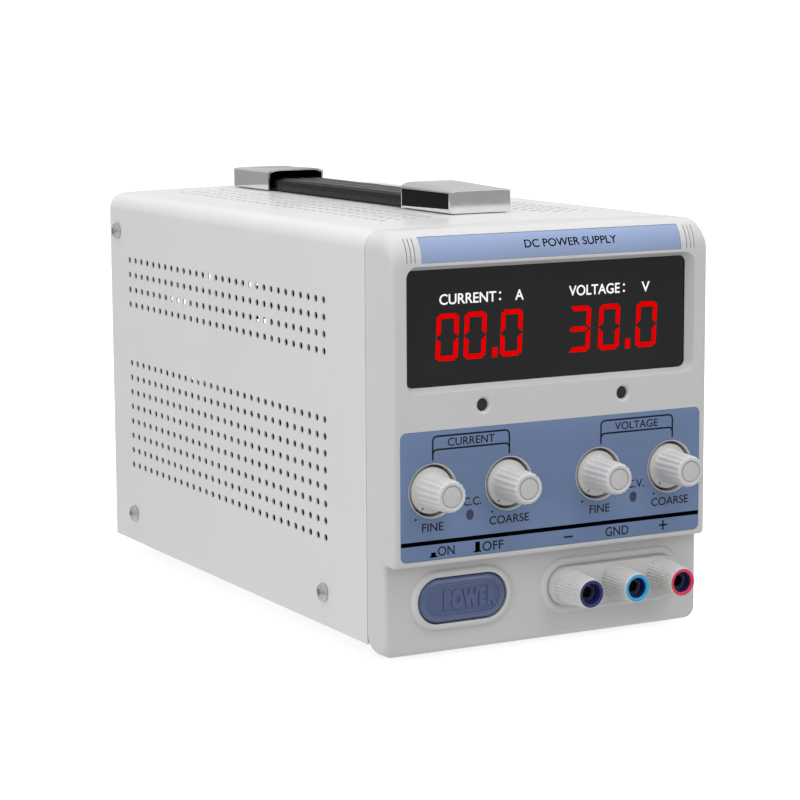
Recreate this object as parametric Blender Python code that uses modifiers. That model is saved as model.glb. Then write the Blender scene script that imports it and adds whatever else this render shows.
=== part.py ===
"""Bench power supply: adjustable single-output laboratory DC supply.

The case frame is in millimetres: X to the right as seen from the front, Y from the front
bezel's face towards the rear, Z up from the cover's bottom edge. Every part hangs on one
empty that puts the origin under the centre of the overall box, on the ground.
"""
import math

import bmesh
import bpy
from mathutils import Matrix, Vector

MM = 0.001
GAP = 0.3                      # clearance between touching parts
MERGE = 0.00001                # metres

# ---- driving dimensions (mm) ----------------------------------------------------------
WIDTH = 130.0                  # cover
COVER_TOP = 142.0              # at the bends; the middle stands higher
CROWN = 1.0
COVER_FRONT = 16.0             # joint between bezel and cover
COVER_REAR = 240.9
COVER_CORNER = 6.5
SHEET = 1.0
FOOT_HEIGHT = 6.0

BEZEL_TAPER = 1.6              # each side is this much narrower at the front face
BEZEL_BOTTOM = -3.5
BEZEL_ROUND = 10.8             # top front rounding
LOWER_FACE = 6.0               # the lower block is set back by this much
STEP_HEIGHT = 28.7             # bottom edge of the upper block
WALL = 4.0                     # front wall of the upper block
LOWER_WALL = 2.0

WINDOW = (112.8, 39.7, 109.15)  # visible width, height and centre height
WINDOW_SLOPE = 1.5             # chamfered frame around the window
OVERLAY = (121.2, 44.3, 52.8)  # width, height and centre height of the blue film
FILM = 0.5

KNOB_X = {"current_fine": -48.1, "current_coarse": -18.2,
          "voltage_fine": 18.2, "voltage_coarse": 48.1}
KNOB_Z = 54.5
KNOB_TIP = -13.3               # front end of the knobs, the foremost point
WELL_RADIUS = 9.0
WELL_DEPTH = 7.0
SHAFT_RADIUS = 3.0

LAMP_X = 33.2
LAMP_Z = 45.1
ACCESS_X = 28.2
ACCESS_Z = 82.3

BUTTON = (34.6, 15.7)
BUTTON_X = -33.9
BUTTON_Z = 15.0

POST_X = {"negative": 8.3, "ground": 27.3, "positive": 46.3}
POST_Z = 14.8
POST_TIP = -11.5
TERMINAL_OPENING = (53.0, 14.0)
TERMINAL_FACE = 5.6            # front of the insert that holds the terminals

SCREWS = {"front": (49.0, 12.0), "rear": (220.4, 11.7), "upper": (233.2, 127.0)}

CAP_WIDTH = 25.0
CAP_HEIGHT = 7.6
CAP_RISE = (1.9, 0.9)          # the front and rear caps are this much taller at their mouths
CAP_FRONT_Y = 50.0             # outer ends of the two caps, then their open ends
CAP_REAR_Y = 233.5
MOUTH_FRONT_Y = 87.0
MOUTH_REAR_Y = 200.0
STRAP = (20.4, 5.0)
PIVOT_FRONT_Y = 90.0
PIVOT_REAR_Y = 193.2

FAN_X = -22.0
FAN_Z = 88.0
FAN_SIZE = 60.0
INLET_X = 30.0
INLET_Z = 22.0

CENTRE_Y = (KNOB_TIP + COVER_REAR) / 2
FACE_FRONT = (math.radians(90), 0, 0)       # local Z points out of the front
FACE_LEFT = (0, math.radians(-90), 0)       # local Z points to the left
FACE_RIGHT = (0, math.radians(90), 0)
ALONG_X = (math.radians(90), 0, math.radians(90))  # local X to the rear, Y up, Z right


# ---- scene and materials --------------------------------------------------------------
def clear_scene():
    for obj in list(bpy.data.objects):
        bpy.data.objects.remove(obj, do_unlink=True)


def new_collection(name):
    group = bpy.data.collections.new(name)
    bpy.context.scene.collection.children.link(group)
    return group


def new_material(name, colour, roughness, metallic=0.0):
    mat = bpy.data.materials.new(name)
    mat.use_nodes = True
    shader = mat.node_tree.nodes["Principled BSDF"]
    shader.inputs["Base Color"].default_value = (*colour, 1.0)
    shader.inputs["Roughness"].default_value = roughness
    shader.inputs["Metallic"].default_value = metallic
    mat.diffuse_color = (*colour, 1.0)
    return mat


clear_scene()
PARTS = new_collection("bench_power_supply")
CUTTERS = new_collection("cutters")
CASE = bpy.data.objects.new("case_frame", None)
CASE.location = (0, -CENTRE_Y * MM, FOOT_HEIGHT * MM)
PARTS.objects.link(CASE)

PAINT = new_material("painted_metal", (0.66, 0.67, 0.67), 0.45)
PLASTIC = new_material("light_grey_plastic", (0.55, 0.56, 0.56), 0.5)
KNOB = new_material("knob_plastic", (0.64, 0.64, 0.63), 0.45)
BLUE = new_material("overlay_blue", (0.13, 0.19, 0.32), 0.4)
STRIP_BLUE = new_material("strip_blue", (0.26, 0.35, 0.61), 0.4)
BUTTON_BLUE = new_material("button_blue", (0.09, 0.13, 0.28), 0.35)
SMOKED = new_material("display_window", (0.01, 0.01, 0.01), 0.1)
NAVY = new_material("collar_navy", (0.02, 0.03, 0.13), 0.35)
CYAN = new_material("collar_cyan", (0.03, 0.38, 0.72), 0.35)
RED = new_material("collar_red", (0.72, 0.04, 0.1), 0.35)
CHROME = new_material("chrome", (0.8, 0.8, 0.8), 0.08, 1.0)
STEEL = new_material("steel", (0.6, 0.6, 0.6), 0.3, 1.0)
BRASS = new_material("brass", (0.75, 0.6, 0.3), 0.25, 1.0)
ALUMINIUM = new_material("aluminium", (0.75, 0.76, 0.77), 0.35, 1.0)
RUBBER = new_material("black_rubber", (0.02, 0.02, 0.02), 0.6)
BLACK = new_material("black_plastic", (0.02, 0.02, 0.02), 0.4)
BOARD = new_material("circuit_board", (0.03, 0.16, 0.07), 0.4)
WINDING = new_material("winding_tape", (0.55, 0.42, 0.08), 0.5)
LAMP = new_material("lamp_lens", (0.2, 0.03, 0.03), 0.2)


# ---- modelling helpers ----------------------------------------------------------------
def place(name, mesh, spot, turn=(0, 0, 0), mat=None):
    """Put a mesh in the case frame; without a material it is a cutter."""
    obj = bpy.data.objects.new(name, mesh)
    obj.location = [value * MM for value in spot]
    obj.rotation_euler = turn
    obj.parent = CASE
    if mat is None:
        CUTTERS.objects.link(obj)
        obj.hide_render = True
        obj.display_type = "WIRE"
    else:
        PARTS.objects.link(obj)
        mesh.materials.append(mat)
    return obj


def mesh_from(bm, name):
    bmesh.ops.recalc_face_normals(bm, faces=bm.faces)
    mesh = bpy.data.meshes.new(name)
    bm.to_mesh(mesh)
    bm.free()
    return mesh


def box(name, low, high, mat=None, bevel=0.0):
    """A box between two corners, in the case frame."""
    size = [(b - a) * MM for a, b in zip(low, high)]
    centre = [(a + b) / 2 for a, b in zip(low, high)]
    bm = bmesh.new()
    bmesh.ops.create_cube(bm, size=1.0, matrix=Matrix.Diagonal((*size, 1.0)))
    obj = place(name, mesh_from(bm, name), centre, mat=mat)
    if bevel:
        soften(obj, bevel)
    return obj


def soften(obj, width, segments=1):
    edge = obj.modifiers.new("bevel", "BEVEL")
    edge.width = width * MM
    edge.segments = segments
    edge.limit_method = "ANGLE"
    edge.angle_limit = math.radians(50)


def cylinder(name, radius, length, spot, turn, mat=None, sides=20):
    """A cylinder centred on a spot, its axis along local Z."""
    bm = bmesh.new()
    bmesh.ops.create_cone(bm, cap_ends=True, segments=sides, radius1=radius * MM,
                          radius2=radius * MM, depth=length * MM)
    return place(name, mesh_from(bm, name), spot, turn, mat)


def turned(name, profile, spot, turn, mat=None, sides=20):
    """A turned solid. The profile is (radius, height), running down its outer side."""
    closed = min(radius for radius, _ in profile) > 0
    points = [(radius * MM, 0, height * MM) for radius, height in profile]
    edges = [(i, i + 1) for i in range(len(points) - 1)]
    if closed:
        edges.append((len(points) - 1, 0))
    mesh = bpy.data.meshes.new(name)
    mesh.from_pydata(points, edges, [])
    obj = place(name, mesh, spot, turn, mat)
    screw = obj.modifiers.new("screw", "SCREW")
    screw.axis = "Z"
    screw.steps = sides
    screw.render_steps = sides
    screw.use_merge_vertices = True
    screw.merge_threshold = MERGE
    return obj


def rounded(width, height, radii, steps=4, centre=(0.0, 0.0)):
    """Outline of a rectangle with round corners: radii from bottom left, anticlockwise."""
    outline = []
    signs = ((-1, -1), (1, -1), (1, 1), (-1, 1))
    for corner, (sign_x, sign_y) in enumerate(signs):
        radius = radii[corner]
        middle_x = centre[0] + sign_x * (width / 2 - radius)
        middle_y = centre[1] + sign_y * (height / 2 - radius)
        first = math.radians(180 + 90 * corner)
        for step in range(steps + 1):
            angle = first + math.radians(90) * step / steps
            outline.append((middle_x + radius * math.cos(angle),
                            middle_y + radius * math.sin(angle)))
    return outline


def circle(radius, sides=20, centre=(0.0, 0.0)):
    return [(centre[0] + radius * math.cos(math.tau * i / sides),
             centre[1] + radius * math.sin(math.tau * i / sides)) for i in range(sides)]


def slab(name, outlines, thickness, spot, turn, mat=None):
    """A flat solid from closed outlines (the first is outside, the others are holes)."""
    curve = bpy.data.curves.new(name, "CURVE")
    curve.dimensions = "2D"
    curve.fill_mode = "BOTH"
    curve.extrude = thickness * MM / 2
    for outline in outlines:
        spline = curve.splines.new("POLY")
        spline.points.add(len(outline) - 1)
        for point, (x, y) in zip(spline.points, outline):
            point.co = (x * MM, y * MM, 0, 1)
        spline.use_cyclic_u = True
    flat = bpy.data.objects.new(name + "_outline", curve)
    PARTS.objects.link(flat)
    bpy.context.view_layer.update()
    depsgraph = bpy.context.evaluated_depsgraph_get()
    mesh = bpy.data.meshes.new_from_object(flat.evaluated_get(depsgraph))
    bpy.data.objects.remove(flat, do_unlink=True)
    bm = bmesh.new()
    bm.from_mesh(mesh)
    bmesh.ops.remove_doubles(bm, verts=bm.verts, dist=MERGE)
    bmesh.ops.recalc_face_normals(bm, faces=bm.faces)
    bm.to_mesh(mesh)
    bm.free()
    mesh.name = name
    return place(name, mesh, spot, turn, mat)


def loft(name, sections, spot, turn, mat=None):
    """A solid through closed sections: each is (outline, height), all of equal length."""
    bm = bmesh.new()
    rings = [[bm.verts.new((x * MM, y * MM, height * MM)) for x, y in outline]
             for outline, height in sections]
    for lower, upper in zip(rings, rings[1:]):
        for i in range(len(lower)):
            j = (i + 1) % len(lower)
            bm.faces.new((lower[i], lower[j], upper[j], upper[i]))
    bm.faces.new(rings[0])
    bm.faces.new(rings[-1])
    return place(name, mesh_from(bm, name), spot, turn, mat)


def combine(obj, tool, operation):
    boolean = obj.modifiers.new(tool.name, "BOOLEAN")
    boolean.operation = operation
    boolean.solver = "EXACT"
    boolean.object = tool


def cut(obj, *tools):
    for tool in tools:
        combine(obj, tool, "DIFFERENCE")


def unite(obj, *tools):
    for tool in tools:
        combine(obj, tool, "UNION")


# ---- front ----------------------------------------------------------------------------
def crowned(inset, radius, top):
    """Points along a crowned top edge, from right to left, between two corner rounds."""
    reach = WIDTH / 2 - inset - radius
    return [(reach * k / 3, top + CROWN * (1 - (k / 3) ** 2)) for k in (2, 1, 0, -1, -2)]


def pill(width, height, steps=6):
    return rounded(width, height, [height / 2 - 0.01] * 4, steps)


def bezel_side_profile():
    """The bezel seen from the right: its front face, step, rounded top and curved foot."""
    profile = [(COVER_FRONT, 0.0), (COVER_FRONT - 1.5, -2.3), (COVER_FRONT - 4, BEZEL_BOTTOM)]
    for step in range(4):
        angle = math.radians(270 - 30 * step)
        profile.append((LOWER_FACE + 2 + 2 * math.cos(angle),
                        BEZEL_BOTTOM + 2 + 2 * math.sin(angle)))
    profile += [(LOWER_FACE, STEP_HEIGHT), (0.6, STEP_HEIGHT), (0.0, STEP_HEIGHT + 0.6)]
    for step in range(9):
        angle = math.radians(180 - 90 * step / 8)
        profile.append((BEZEL_ROUND + BEZEL_ROUND * math.cos(angle),
                        COVER_TOP + CROWN - BEZEL_ROUND + BEZEL_ROUND * math.sin(angle)))
    profile.append((COVER_FRONT, COVER_TOP + CROWN))
    return profile


def bezel_front_block():
    """The bezel seen from the front, narrower at its face."""
    height = COVER_TOP - BEZEL_BOTTOM
    middle = (COVER_TOP + BEZEL_BOTTOM) / 2
    sections = []
    for depth in (-2.0, COVER_FRONT + 2):
        width = WIDTH - 2 * BEZEL_TAPER * (COVER_FRONT - depth) / COVER_FRONT
        outline = rounded(width, height, [5.0, 5.0, COVER_CORNER, COVER_CORNER], 5)
        top = crowned((WIDTH - width) / 2, COVER_CORNER, height / 2)
        sections.append((outline[:18] + top + outline[18:], -depth))
    return loft("bezel_front_block", sections, (0, 0, middle), FACE_FRONT)


def window_cutter():
    """Sloping frame around the window, then a straight way through the wall."""
    width, height, middle = WINDOW
    outer = rounded(width + 2 * WINDOW_SLOPE + 0.3, height + 2 * WINDOW_SLOPE + 0.3, [4.5] * 4)
    inner = rounded(width, height, [3.5] * 4)
    return loft("window_cutter", [(inner, -WALL - 1), (inner, -3.6), (outer, 0.3)],
                (0, 0, middle), FACE_FRONT)


def skirt():
    """Tongue on the bezel that slides inside the cover, open at the bottom."""
    outer = WIDTH / 2 - SHEET - GAP - 0.2
    inner = outer - 2.2
    top = COVER_TOP - SHEET - GAP - 0.2
    foot = 23.0
    arc = 5.0
    outline = [(-outer, foot), (-inner, foot)]
    for step in range(4):
        angle = math.radians(180 - 30 * step)
        outline.append((-inner + (arc - 2) * (1 + math.cos(angle)),
                        top - 2.2 - (arc - 2) * (1 - math.sin(angle))))
    outline += [(-x, z) for x, z in reversed(outline)]
    shell = []
    for step in range(4):
        angle = math.radians(30 * step)
        shell.append((outer - arc * (1 - math.cos(angle)), top - arc * (1 - math.sin(angle))))
    outline += shell + [(-x, z) for x, z in reversed(shell)]
    return slab("bezel_skirt", [outline], 11.0, (0, COVER_FRONT + 0.5, 0), FACE_FRONT)


def front_bezel():
    bezel = slab("front_bezel", [bezel_side_profile()], WIDTH + 10, (0, 0, 0), ALONG_X, PLASTIC)
    combine(bezel, bezel_front_block(), "INTERSECT")
    side = WIDTH / 2 - BEZEL_TAPER - 2.6
    cut(bezel,
        box("upper_cavity", (-side, WALL, STEP_HEIGHT + 2.2), (side, 40, COVER_TOP - 3.0)),
        box("lower_cavity", (-side, LOWER_FACE + LOWER_WALL, -1.0), (side, 40, 40)))
    unite(bezel, skirt())
    for name, x in KNOB_X.items():
        unite(bezel, cylinder("cup_" + name, WELL_RADIUS + 1.6, 6.5, (x, WALL + 1.25, KNOB_Z),
                              FACE_FRONT, sides=24))
    for name, x in KNOB_X.items():
        well = [(0, 1), (WELL_RADIUS, 1), (WELL_RADIUS, -WELL_DEPTH), (4.0, -WELL_DEPTH),
                (4.0, -12), (0, -12)]
        cut(bezel, turned("well_" + name, well, (x, 0, KNOB_Z), FACE_FRONT, sides=24))
    for side_name, sign in (("left", -1), ("right", 1)):
        cut(bezel, cylinder("access_" + side_name, 1.7, 20, (sign * ACCESS_X, 0, ACCESS_Z),
                            FACE_FRONT, sides=12))
        cut(bezel, cylinder("lamp_hole_" + side_name, 2.1, 20, (sign * LAMP_X, 0, LAMP_Z),
                            FACE_FRONT, sides=12))
    cut(bezel, window_cutter(), strip_solid("strip_pocket", GAP, None))
    for name, size, spot in (("button", (39.3, 19.7), (BUTTON_X, BUTTON_Z)),
                             ("terminal", (59.0, 18.3), (POST_X["ground"], POST_Z))):
        base = pill(*size)
        crest = pill(size[0] - 2, size[1] - 2)
        unite(bezel, loft("lip_" + name, [(base, -1.0), (base, 0.2), (crest, 1.2)],
                          (spot[0], LOWER_FACE, spot[1]), FACE_FRONT))
    cut(bezel,
        slab("button_opening", [pill(BUTTON[0] + 0.8, BUTTON[1] + 0.8)], 20,
             (BUTTON_X, LOWER_FACE, BUTTON_Z), FACE_FRONT),
        slab("terminal_opening", [pill(*TERMINAL_OPENING)], 20,
             (POST_X["ground"], LOWER_FACE, POST_Z), FACE_FRONT),
        overlay_pocket())


def overlay_outlines(grow):
    """The overlay's outline and its four knob openings; grow widens it all round."""
    width, height, middle = OVERLAY
    outlines = [rounded(width + 2 * grow, height + 2 * grow, [2.2 + grow] * 4, 5, (0, middle))]
    for x in KNOB_X.values():
        outlines.append(circle(WELL_RADIUS + 0.8 - grow, 24, (x, KNOB_Z)))
    return outlines


def overlay_pocket():
    depth = FILM + GAP
    return slab("overlay_pocket", overlay_outlines(GAP), 2 * depth, (0, 0, 0), FACE_FRONT)


def control_overlay():
    slab("control_overlay", overlay_outlines(0), FILM, (0, FILM / 2, 0), FACE_FRONT, BLUE)


def strip_solid(name, grow, mat):
    """Curved strip on the rounded top edge; grow turns it into its own pocket."""
    centre_y = BEZEL_ROUND
    centre_z = COVER_TOP + CROWN - BEZEL_ROUND
    start = -grow / BEZEL_ROUND
    stop = math.asin((139.7 - centre_z) / BEZEL_ROUND) + grow / BEZEL_ROUND
    outer = BEZEL_ROUND - 0.22 + 5 * grow
    inner = BEZEL_ROUND - 0.22 - FILM - grow
    steps = 6
    outline = []
    for step in range(steps + 1):
        angle = math.pi - (start + (stop - start) * step / steps)
        outline.append((centre_y + outer * math.cos(angle), centre_z + outer * math.sin(angle)))
    for step in range(steps, -1, -1):
        angle = math.pi - (start + (stop - start) * step / steps)
        outline.append((centre_y + inner * math.cos(angle), centre_z + inner * math.sin(angle)))
    return slab(name, [outline], 104 + 2 * grow, (0, 0, 0), ALONG_X, mat)


def display_window():
    width, height, middle = WINDOW
    slab("display_window", [rounded(width + 4, height + 3, [4] * 4)], 2.0,
         (0, WALL + GAP + 1.0, middle), FACE_FRONT, SMOKED)


def display_modules():
    middle = 105.0
    for name, x in (("current", -27.6), ("voltage", 26.5)):
        box(name + "_display", (x - 25, 7.0, middle - 12), (x + 25, 15.0, middle + 12), BLACK)
    box("control_board", (-58, 17.0, 31.5), (58, 18.6, 128), BOARD)


def mode_lamps():
    lens = [(0, -0.9), (0.9, -1.1), (1.5, -1.9), (1.5, -6.0), (1.75, -6.0), (1.75, -16.6),
            (0, -16.6)]
    for name, sign in (("cc", -1), ("cv", 1)):
        turned("led_" + name, lens, (sign * LAMP_X, 0, LAMP_Z), FACE_FRONT, LAMP, sides=12)


def knobs():
    """Knob, its shaft and the fixed pot. Heights are along the axis, out of the front."""
    bore = SHAFT_RADIUS + GAP
    tip = -KNOB_TIP
    knob = [(5.0, tip), (5.6, tip - 0.6), (6.9, -0.5), (7.7, -0.7), (7.7, -5.8), (bore, -5.8),
            (bore, 8.3), (0, 8.3)]
    knob = [(0, tip)] + knob
    shaft = [(0, 8.0), (SHAFT_RADIUS, 8.0), (SHAFT_RADIUS, -11.0), (0, -11.0)]
    pot = [(0, -12.0), (bore, -12.0), (bore, -6.3), (3.7, -6.3), (3.7, -8.8), (8.0, -8.8),
           (8.0, -16.6), (0, -16.6)]
    for name, x in KNOB_X.items():
        turned("knob_" + name, knob, (x, 0, KNOB_Z), FACE_FRONT, KNOB, sides=24)
        turned("shaft_" + name, shaft, (x, 0, KNOB_Z), FACE_FRONT, STEEL, sides=12)
        turned("pot_" + name, pot, (x, 0, KNOB_Z), FACE_FRONT, STEEL, sides=12)


def power_button():
    """Latching push button, modelled pressed in, and the switch that it works."""
    width, height = BUTTON
    sections = [(pill(width, height), -8.0), (pill(width, height), 0.6),
                (pill(width - 1.4, height - 1.4), 1.4), (pill(width - 4, height - 4), 1.8)]
    button = loft("power_button", sections, (BUTTON_X, LOWER_FACE, BUTTON_Z), FACE_FRONT,
                  BUTTON_BLUE)
    unite(button, box("button_stem", (BUTTON_X - 2, 12, BUTTON_Z - 2),
                      (BUTTON_X + 2, 25, BUTTON_Z + 2)))
    switch = box("power_switch", (BUTTON_X - 7, 19.5, BUTTON_Z - 6),
                 (BUTTON_X + 7, 42, BUTTON_Z + 6), BLACK)
    cut(switch, box("switch_bore", (BUTTON_X - 2.5, 15, BUTTON_Z - 2.5),
                    (BUTTON_X + 2.5, 30, BUTTON_Z + 2.5)))


def terminals():
    """Three binding posts. Heights are along the axis, out of the front."""
    plate_front = -(LOWER_FACE + LOWER_WALL + GAP)
    plate = slab("terminal_plate", [rounded(58, 19, [3] * 4)], 2.5,
                 (POST_X["ground"], -plate_front + 1.25, POST_Z), FACE_FRONT, PLASTIC)
    boss = slab("terminal_boss", [pill(TERMINAL_OPENING[0] - 0.8, TERMINAL_OPENING[1] - 0.8)],
                -plate_front + 0.5 - TERMINAL_FACE,
                (POST_X["ground"], (TERMINAL_FACE - plate_front + 0.5) / 2, POST_Z), FACE_FRONT)
    unite(plate, boss)
    tip = -POST_TIP
    base = -TERMINAL_FACE + GAP
    stud = [(2.05, tip - 3.9), (2.6, tip - 3.9), (2.6, plate_front - 14),
            (2.05, plate_front - 14)]
    cap = [(4.9, tip), (5.0, tip - 0.4), (5.9, base + 0.6), (5.9, base), (2.9, base),
           (2.9, tip - 3.4), (4.75, tip - 3.4), (4.75, tip)]
    collar = [(2.9, tip), (4.45, tip), (4.45, tip - 3.1), (2.9, tip - 3.1)]
    colours = {"negative": NAVY, "ground": CYAN, "positive": RED}
    for name, x in POST_X.items():
        spot = (x, 0, POST_Z)
        turned("post_stud_" + name, stud, spot, FACE_FRONT, BRASS, sides=16)
        turned("post_cap_" + name, cap, spot, FACE_FRONT, KNOB, sides=20)
        turned("post_collar_" + name, collar, spot, FACE_FRONT, colours[name], sides=20)
        cut(plate, cylinder("stud_hole_" + name, 3.0, 20, (x, -plate_front, POST_Z), FACE_FRONT,
                            sides=16))


# ---- case -----------------------------------------------------------------------------
def side_spots():
    """Every side screw: its name, side (-1 left, 1 right), depth and height."""
    for side_name, sign in (("left", -1), ("right", 1)):
        for place_name, (y, z) in SCREWS.items():
            yield side_name + "_" + place_name, sign, y, z


def cover_section():
    """Half of the cover's section, from the bottom edge to the middle of the top."""
    half = WIDTH / 2
    section = [(-half, 0.0)]
    for step in range(7):
        angle = math.radians(180 - 15 * step)
        section.append((-half + COVER_CORNER * (1 + math.cos(angle)),
                        COVER_TOP - COVER_CORNER * (1 - math.sin(angle))))
    section += [(-x, z) for x, z in crowned(0, COVER_CORNER, COVER_TOP)[:2]]
    return section


def top_cover():
    """Bent sheet: an open U surface with thickness, drilled for its screws."""
    section = cover_section()
    section += [(0.0, COVER_TOP + CROWN)] + [(-x, z) for x, z in reversed(section)]
    front = COVER_FRONT + GAP
    bm = bmesh.new()
    rows = [[bm.verts.new((x * MM, y * MM, z * MM)) for x, z in section]
            for y in (front, COVER_REAR)]
    for i in range(len(section) - 1):
        bm.faces.new((rows[0][i], rows[0][i + 1], rows[1][i + 1], rows[1][i]))
    mesh = bpy.data.meshes.new("top_cover")
    bm.to_mesh(mesh)
    bm.free()
    cover = place("top_cover", mesh, (0, 0, 0), mat=PAINT)
    sheet = cover.modifiers.new("sheet", "SOLIDIFY")
    sheet.thickness = SHEET * MM
    sheet.offset = -1.0
    sheet.use_even_offset = True
    for name, sign, y, z in side_spots():
        cut(cover, cylinder("cover_hole_" + name, 1.9, 12, (sign * WIDTH / 2, y, z), FACE_RIGHT,
                            sides=12))


def base_chassis():
    """Tray with side flanges, inside the cover, and a tongue that reaches into the bezel."""
    outer = WIDTH / 2 - SHEET - GAP
    rear = COVER_REAR - 3.5
    flange = 1.2
    chassis = box("base_chassis", (-outer, COVER_FRONT + GAP, 0.0), (outer, rear, flange), PAINT)
    unite(chassis, box("chassis_tongue", (-50, 9.5, 0.0), (50, 24, flange)))
    for name, sign in (("left", -1), ("right", 1)):
        edges = sorted((sign * outer, sign * (outer - flange)))
        unite(chassis, box("flange_" + name, (edges[0], 24, 0.4), (edges[1], rear, 20)))
    for name, sign, y, z in side_spots():
        if z < 20:
            cut(chassis, cylinder("chassis_hole_" + name, 1.9, 12, (sign * outer, y, z),
                                  FACE_RIGHT, sides=12))


def rear_panel():
    outer = WIDTH / 2 - SHEET - GAP
    back = COVER_REAR - 1.7
    front = back - 1.5
    bottom = 1.5
    top = COVER_TOP - SHEET - GAP
    outline = rounded(2 * outer, top - bottom, [0.5, 0.5, 5.3, 5.3], 4, (0, (top + bottom) / 2))
    outline = outline[:15] + crowned(SHEET + GAP, 6.8, top) + outline[15:]
    cutout = rounded(27.6, 20.1, [1.5] * 4, 2, (INLET_X, INLET_Z))
    panel = slab("rear_panel", [outline, circle(28, 28, (FAN_X, FAN_Z)), cutout], back - front,
                 (0, (front + back) / 2, 0), FACE_FRONT, PAINT)
    for name, sign in (("left", -1), ("right", 1)):
        edges = sorted((sign * outer, sign * (outer - 1.2)))
        unite(panel, box("return_" + name, (edges[0], 226, 22), (edges[1], back - 0.5, 132)))
        cut(panel, cylinder("return_hole_" + name, 1.9, 12,
                            (sign * outer, *SCREWS["upper"]), FACE_RIGHT, sides=12))


def side_screws():
    """Pan head screws. Heights are along the axis, out of the side."""
    head = [(0, 2.3), (1.6, 2.2), (2.7, 1.6), (3.3, 0.6), (3.3, GAP), (1.5, GAP), (1.5, -6),
            (0, -6)]
    for name, sign, y, z in side_spots():
        turned("screw_" + name, head, (sign * WIDTH / 2, y, z),
               FACE_RIGHT if sign > 0 else FACE_LEFT, CHROME, sides=12)


def feet():
    foot = [(0, -GAP), (8.0, -GAP), (7.0, -FOOT_HEIGHT + 0.5), (6.5, -FOOT_HEIGHT),
            (0, -FOOT_HEIGHT)]
    for row, y in (("front", 36), ("rear", 215)):
        for side_name, x in (("left", -38), ("right", 38)):
            turned("foot_%s_%s" % (row, side_name), foot, (x, y, 0), (0, 0, 0), RUBBER, sides=16)


# ---- handle ---------------------------------------------------------------------------
def handle_caps():
    """Hollow caps, open underneath and towards the strap."""
    low = COVER_TOP + CROWN + GAP
    wall = 0.9
    for name, near, far, rise in (("front", CAP_FRONT_Y, MOUTH_FRONT_Y, CAP_RISE[0]),
                                  ("rear", CAP_REAR_Y, MOUTH_REAR_Y, CAP_RISE[1])):
        outline = [(near, low), (far, low), (far, low + CAP_HEIGHT + rise),
                   (near, low + CAP_HEIGHT)]
        cap = slab("handle_cap_" + name, [outline], CAP_WIDTH, (0, 0, 0), ALONG_X, CHROME)
        soften(cap, 0.7)
        inner = near + math.copysign(wall, far - near)
        mouth = far + math.copysign(5, far - near)
        cut(cap, box("cap_hollow_" + name, (-CAP_WIDTH / 2 + wall, min(inner, mouth), low - 5),
                     (CAP_WIDTH / 2 - wall, max(inner, mouth), low + CAP_HEIGHT - wall)))


def strap_profile(start, end, round_start, round_end):
    """A strap link from the side: half-round about its pivots, flat at the other ends."""
    half = STRAP[1] / 2
    outline = []
    if round_start:
        outline += [(start + half * math.cos(math.radians(90 + 30 * i)),
                     half * math.sin(math.radians(90 + 30 * i))) for i in range(7)]
    else:
        outline += [(start, half), (start, -half)]
    if round_end:
        outline += [(end + half * math.cos(math.radians(-90 + 30 * i)),
                     half * math.sin(math.radians(-90 + 30 * i))) for i in range(7)]
    else:
        outline += [(end, -half), (end, half)]
    return outline


def strap():
    """Four links in line. The pivots are where the strap bends when it is lifted."""
    middle_y = (PIVOT_FRONT_Y + PIVOT_REAR_Y) / 2
    height = COVER_TOP + CROWN + GAP + STRAP[1] / 2
    clear = STRAP[1] / 2 + GAP
    links = {
        "strap_tongue_front": (CAP_FRONT_Y + 6, PIVOT_FRONT_Y - clear, False, False),
        "strap_front": (PIVOT_FRONT_Y, middle_y, True, True),
        "strap_rear": (middle_y + clear, PIVOT_REAR_Y, False, True),
        "strap_tongue_rear": (PIVOT_REAR_Y + clear, CAP_REAR_Y - 4, False, False),
    }
    for name, (start, end, round_start, round_end) in links.items():
        outline = strap_profile(start, end, round_start, round_end)
        slab(name, [outline], STRAP[0], (0, 0, height), ALONG_X, RUBBER)


# ---- inside ---------------------------------------------------------------------------
def transformer():
    """Laminated core with two windows, and the winding around its middle leg."""
    low = 1.2 + GAP
    width, depth, height = 84.0, 44.0, 70.0
    leg = 28.0
    window = (14.0, 42.0)
    centre_y = 80.0
    outer = rounded(width, height, [0.5] * 4, 1)
    holes = [rounded(*window, [0.5] * 4, 1, (sign * (leg + window[0]) / 2, 0))
             for sign in (-1, 1)]
    slab("transformer_core", [outer] + holes, depth, (-8, centre_y, low + height / 2),
         FACE_FRONT, STEEL)
    reach = leg + 2 * window[0] - 2 * GAP
    bulge = depth + 24
    slab("transformer_winding",
         [rounded(reach, bulge, [5] * 4, 3), rounded(leg + 2 * GAP, depth + 2 * GAP, [0.3] * 4, 1)],
         window[1] - 2 * GAP, (-8, centre_y, low + height / 2), (0, 0, 0), WINDING)


def power_electronics():
    """Main board on four spacers, the reservoir capacitor on it, and the heat sink."""
    floor = 1.2 + GAP
    board = box("main_board", (-58, 130, 9), (14, 212, 10.6), BOARD)
    for i, (x, y) in enumerate(((-53, 135), (9, 135), (-53, 207), (9, 207))):
        unite(board, cylinder("spacer_%d" % i, 2.5, 9.4 - floor, (x, y, (9.4 + floor) / 2),
                              (0, 0, 0), sides=8))
    can = [(0, 60), (16.6, 60), (17.5, 59), (17.5, 10.6 + GAP), (0, 10.6 + GAP)]
    turned("filter_capacitor", can, (-26, 172, 0), (0, 0, 0), BLACK, sides=20)
    fins = [(22.0, 0.0), (56.0, 0.0), (56.0, 4.0)]
    for i in range(6):
        y = 4.0 + 12.0 * i
        fins += [(28.0, y), (28.0, y + 9.6), (56.0, y + 9.6), (56.0, y + 12.0)]
    fins += [(22.0, 76.0)]
    slab("heat_sink", [fins], 88, (0, 132, floor + 44), (0, 0, 0), ALUMINIUM)


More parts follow.
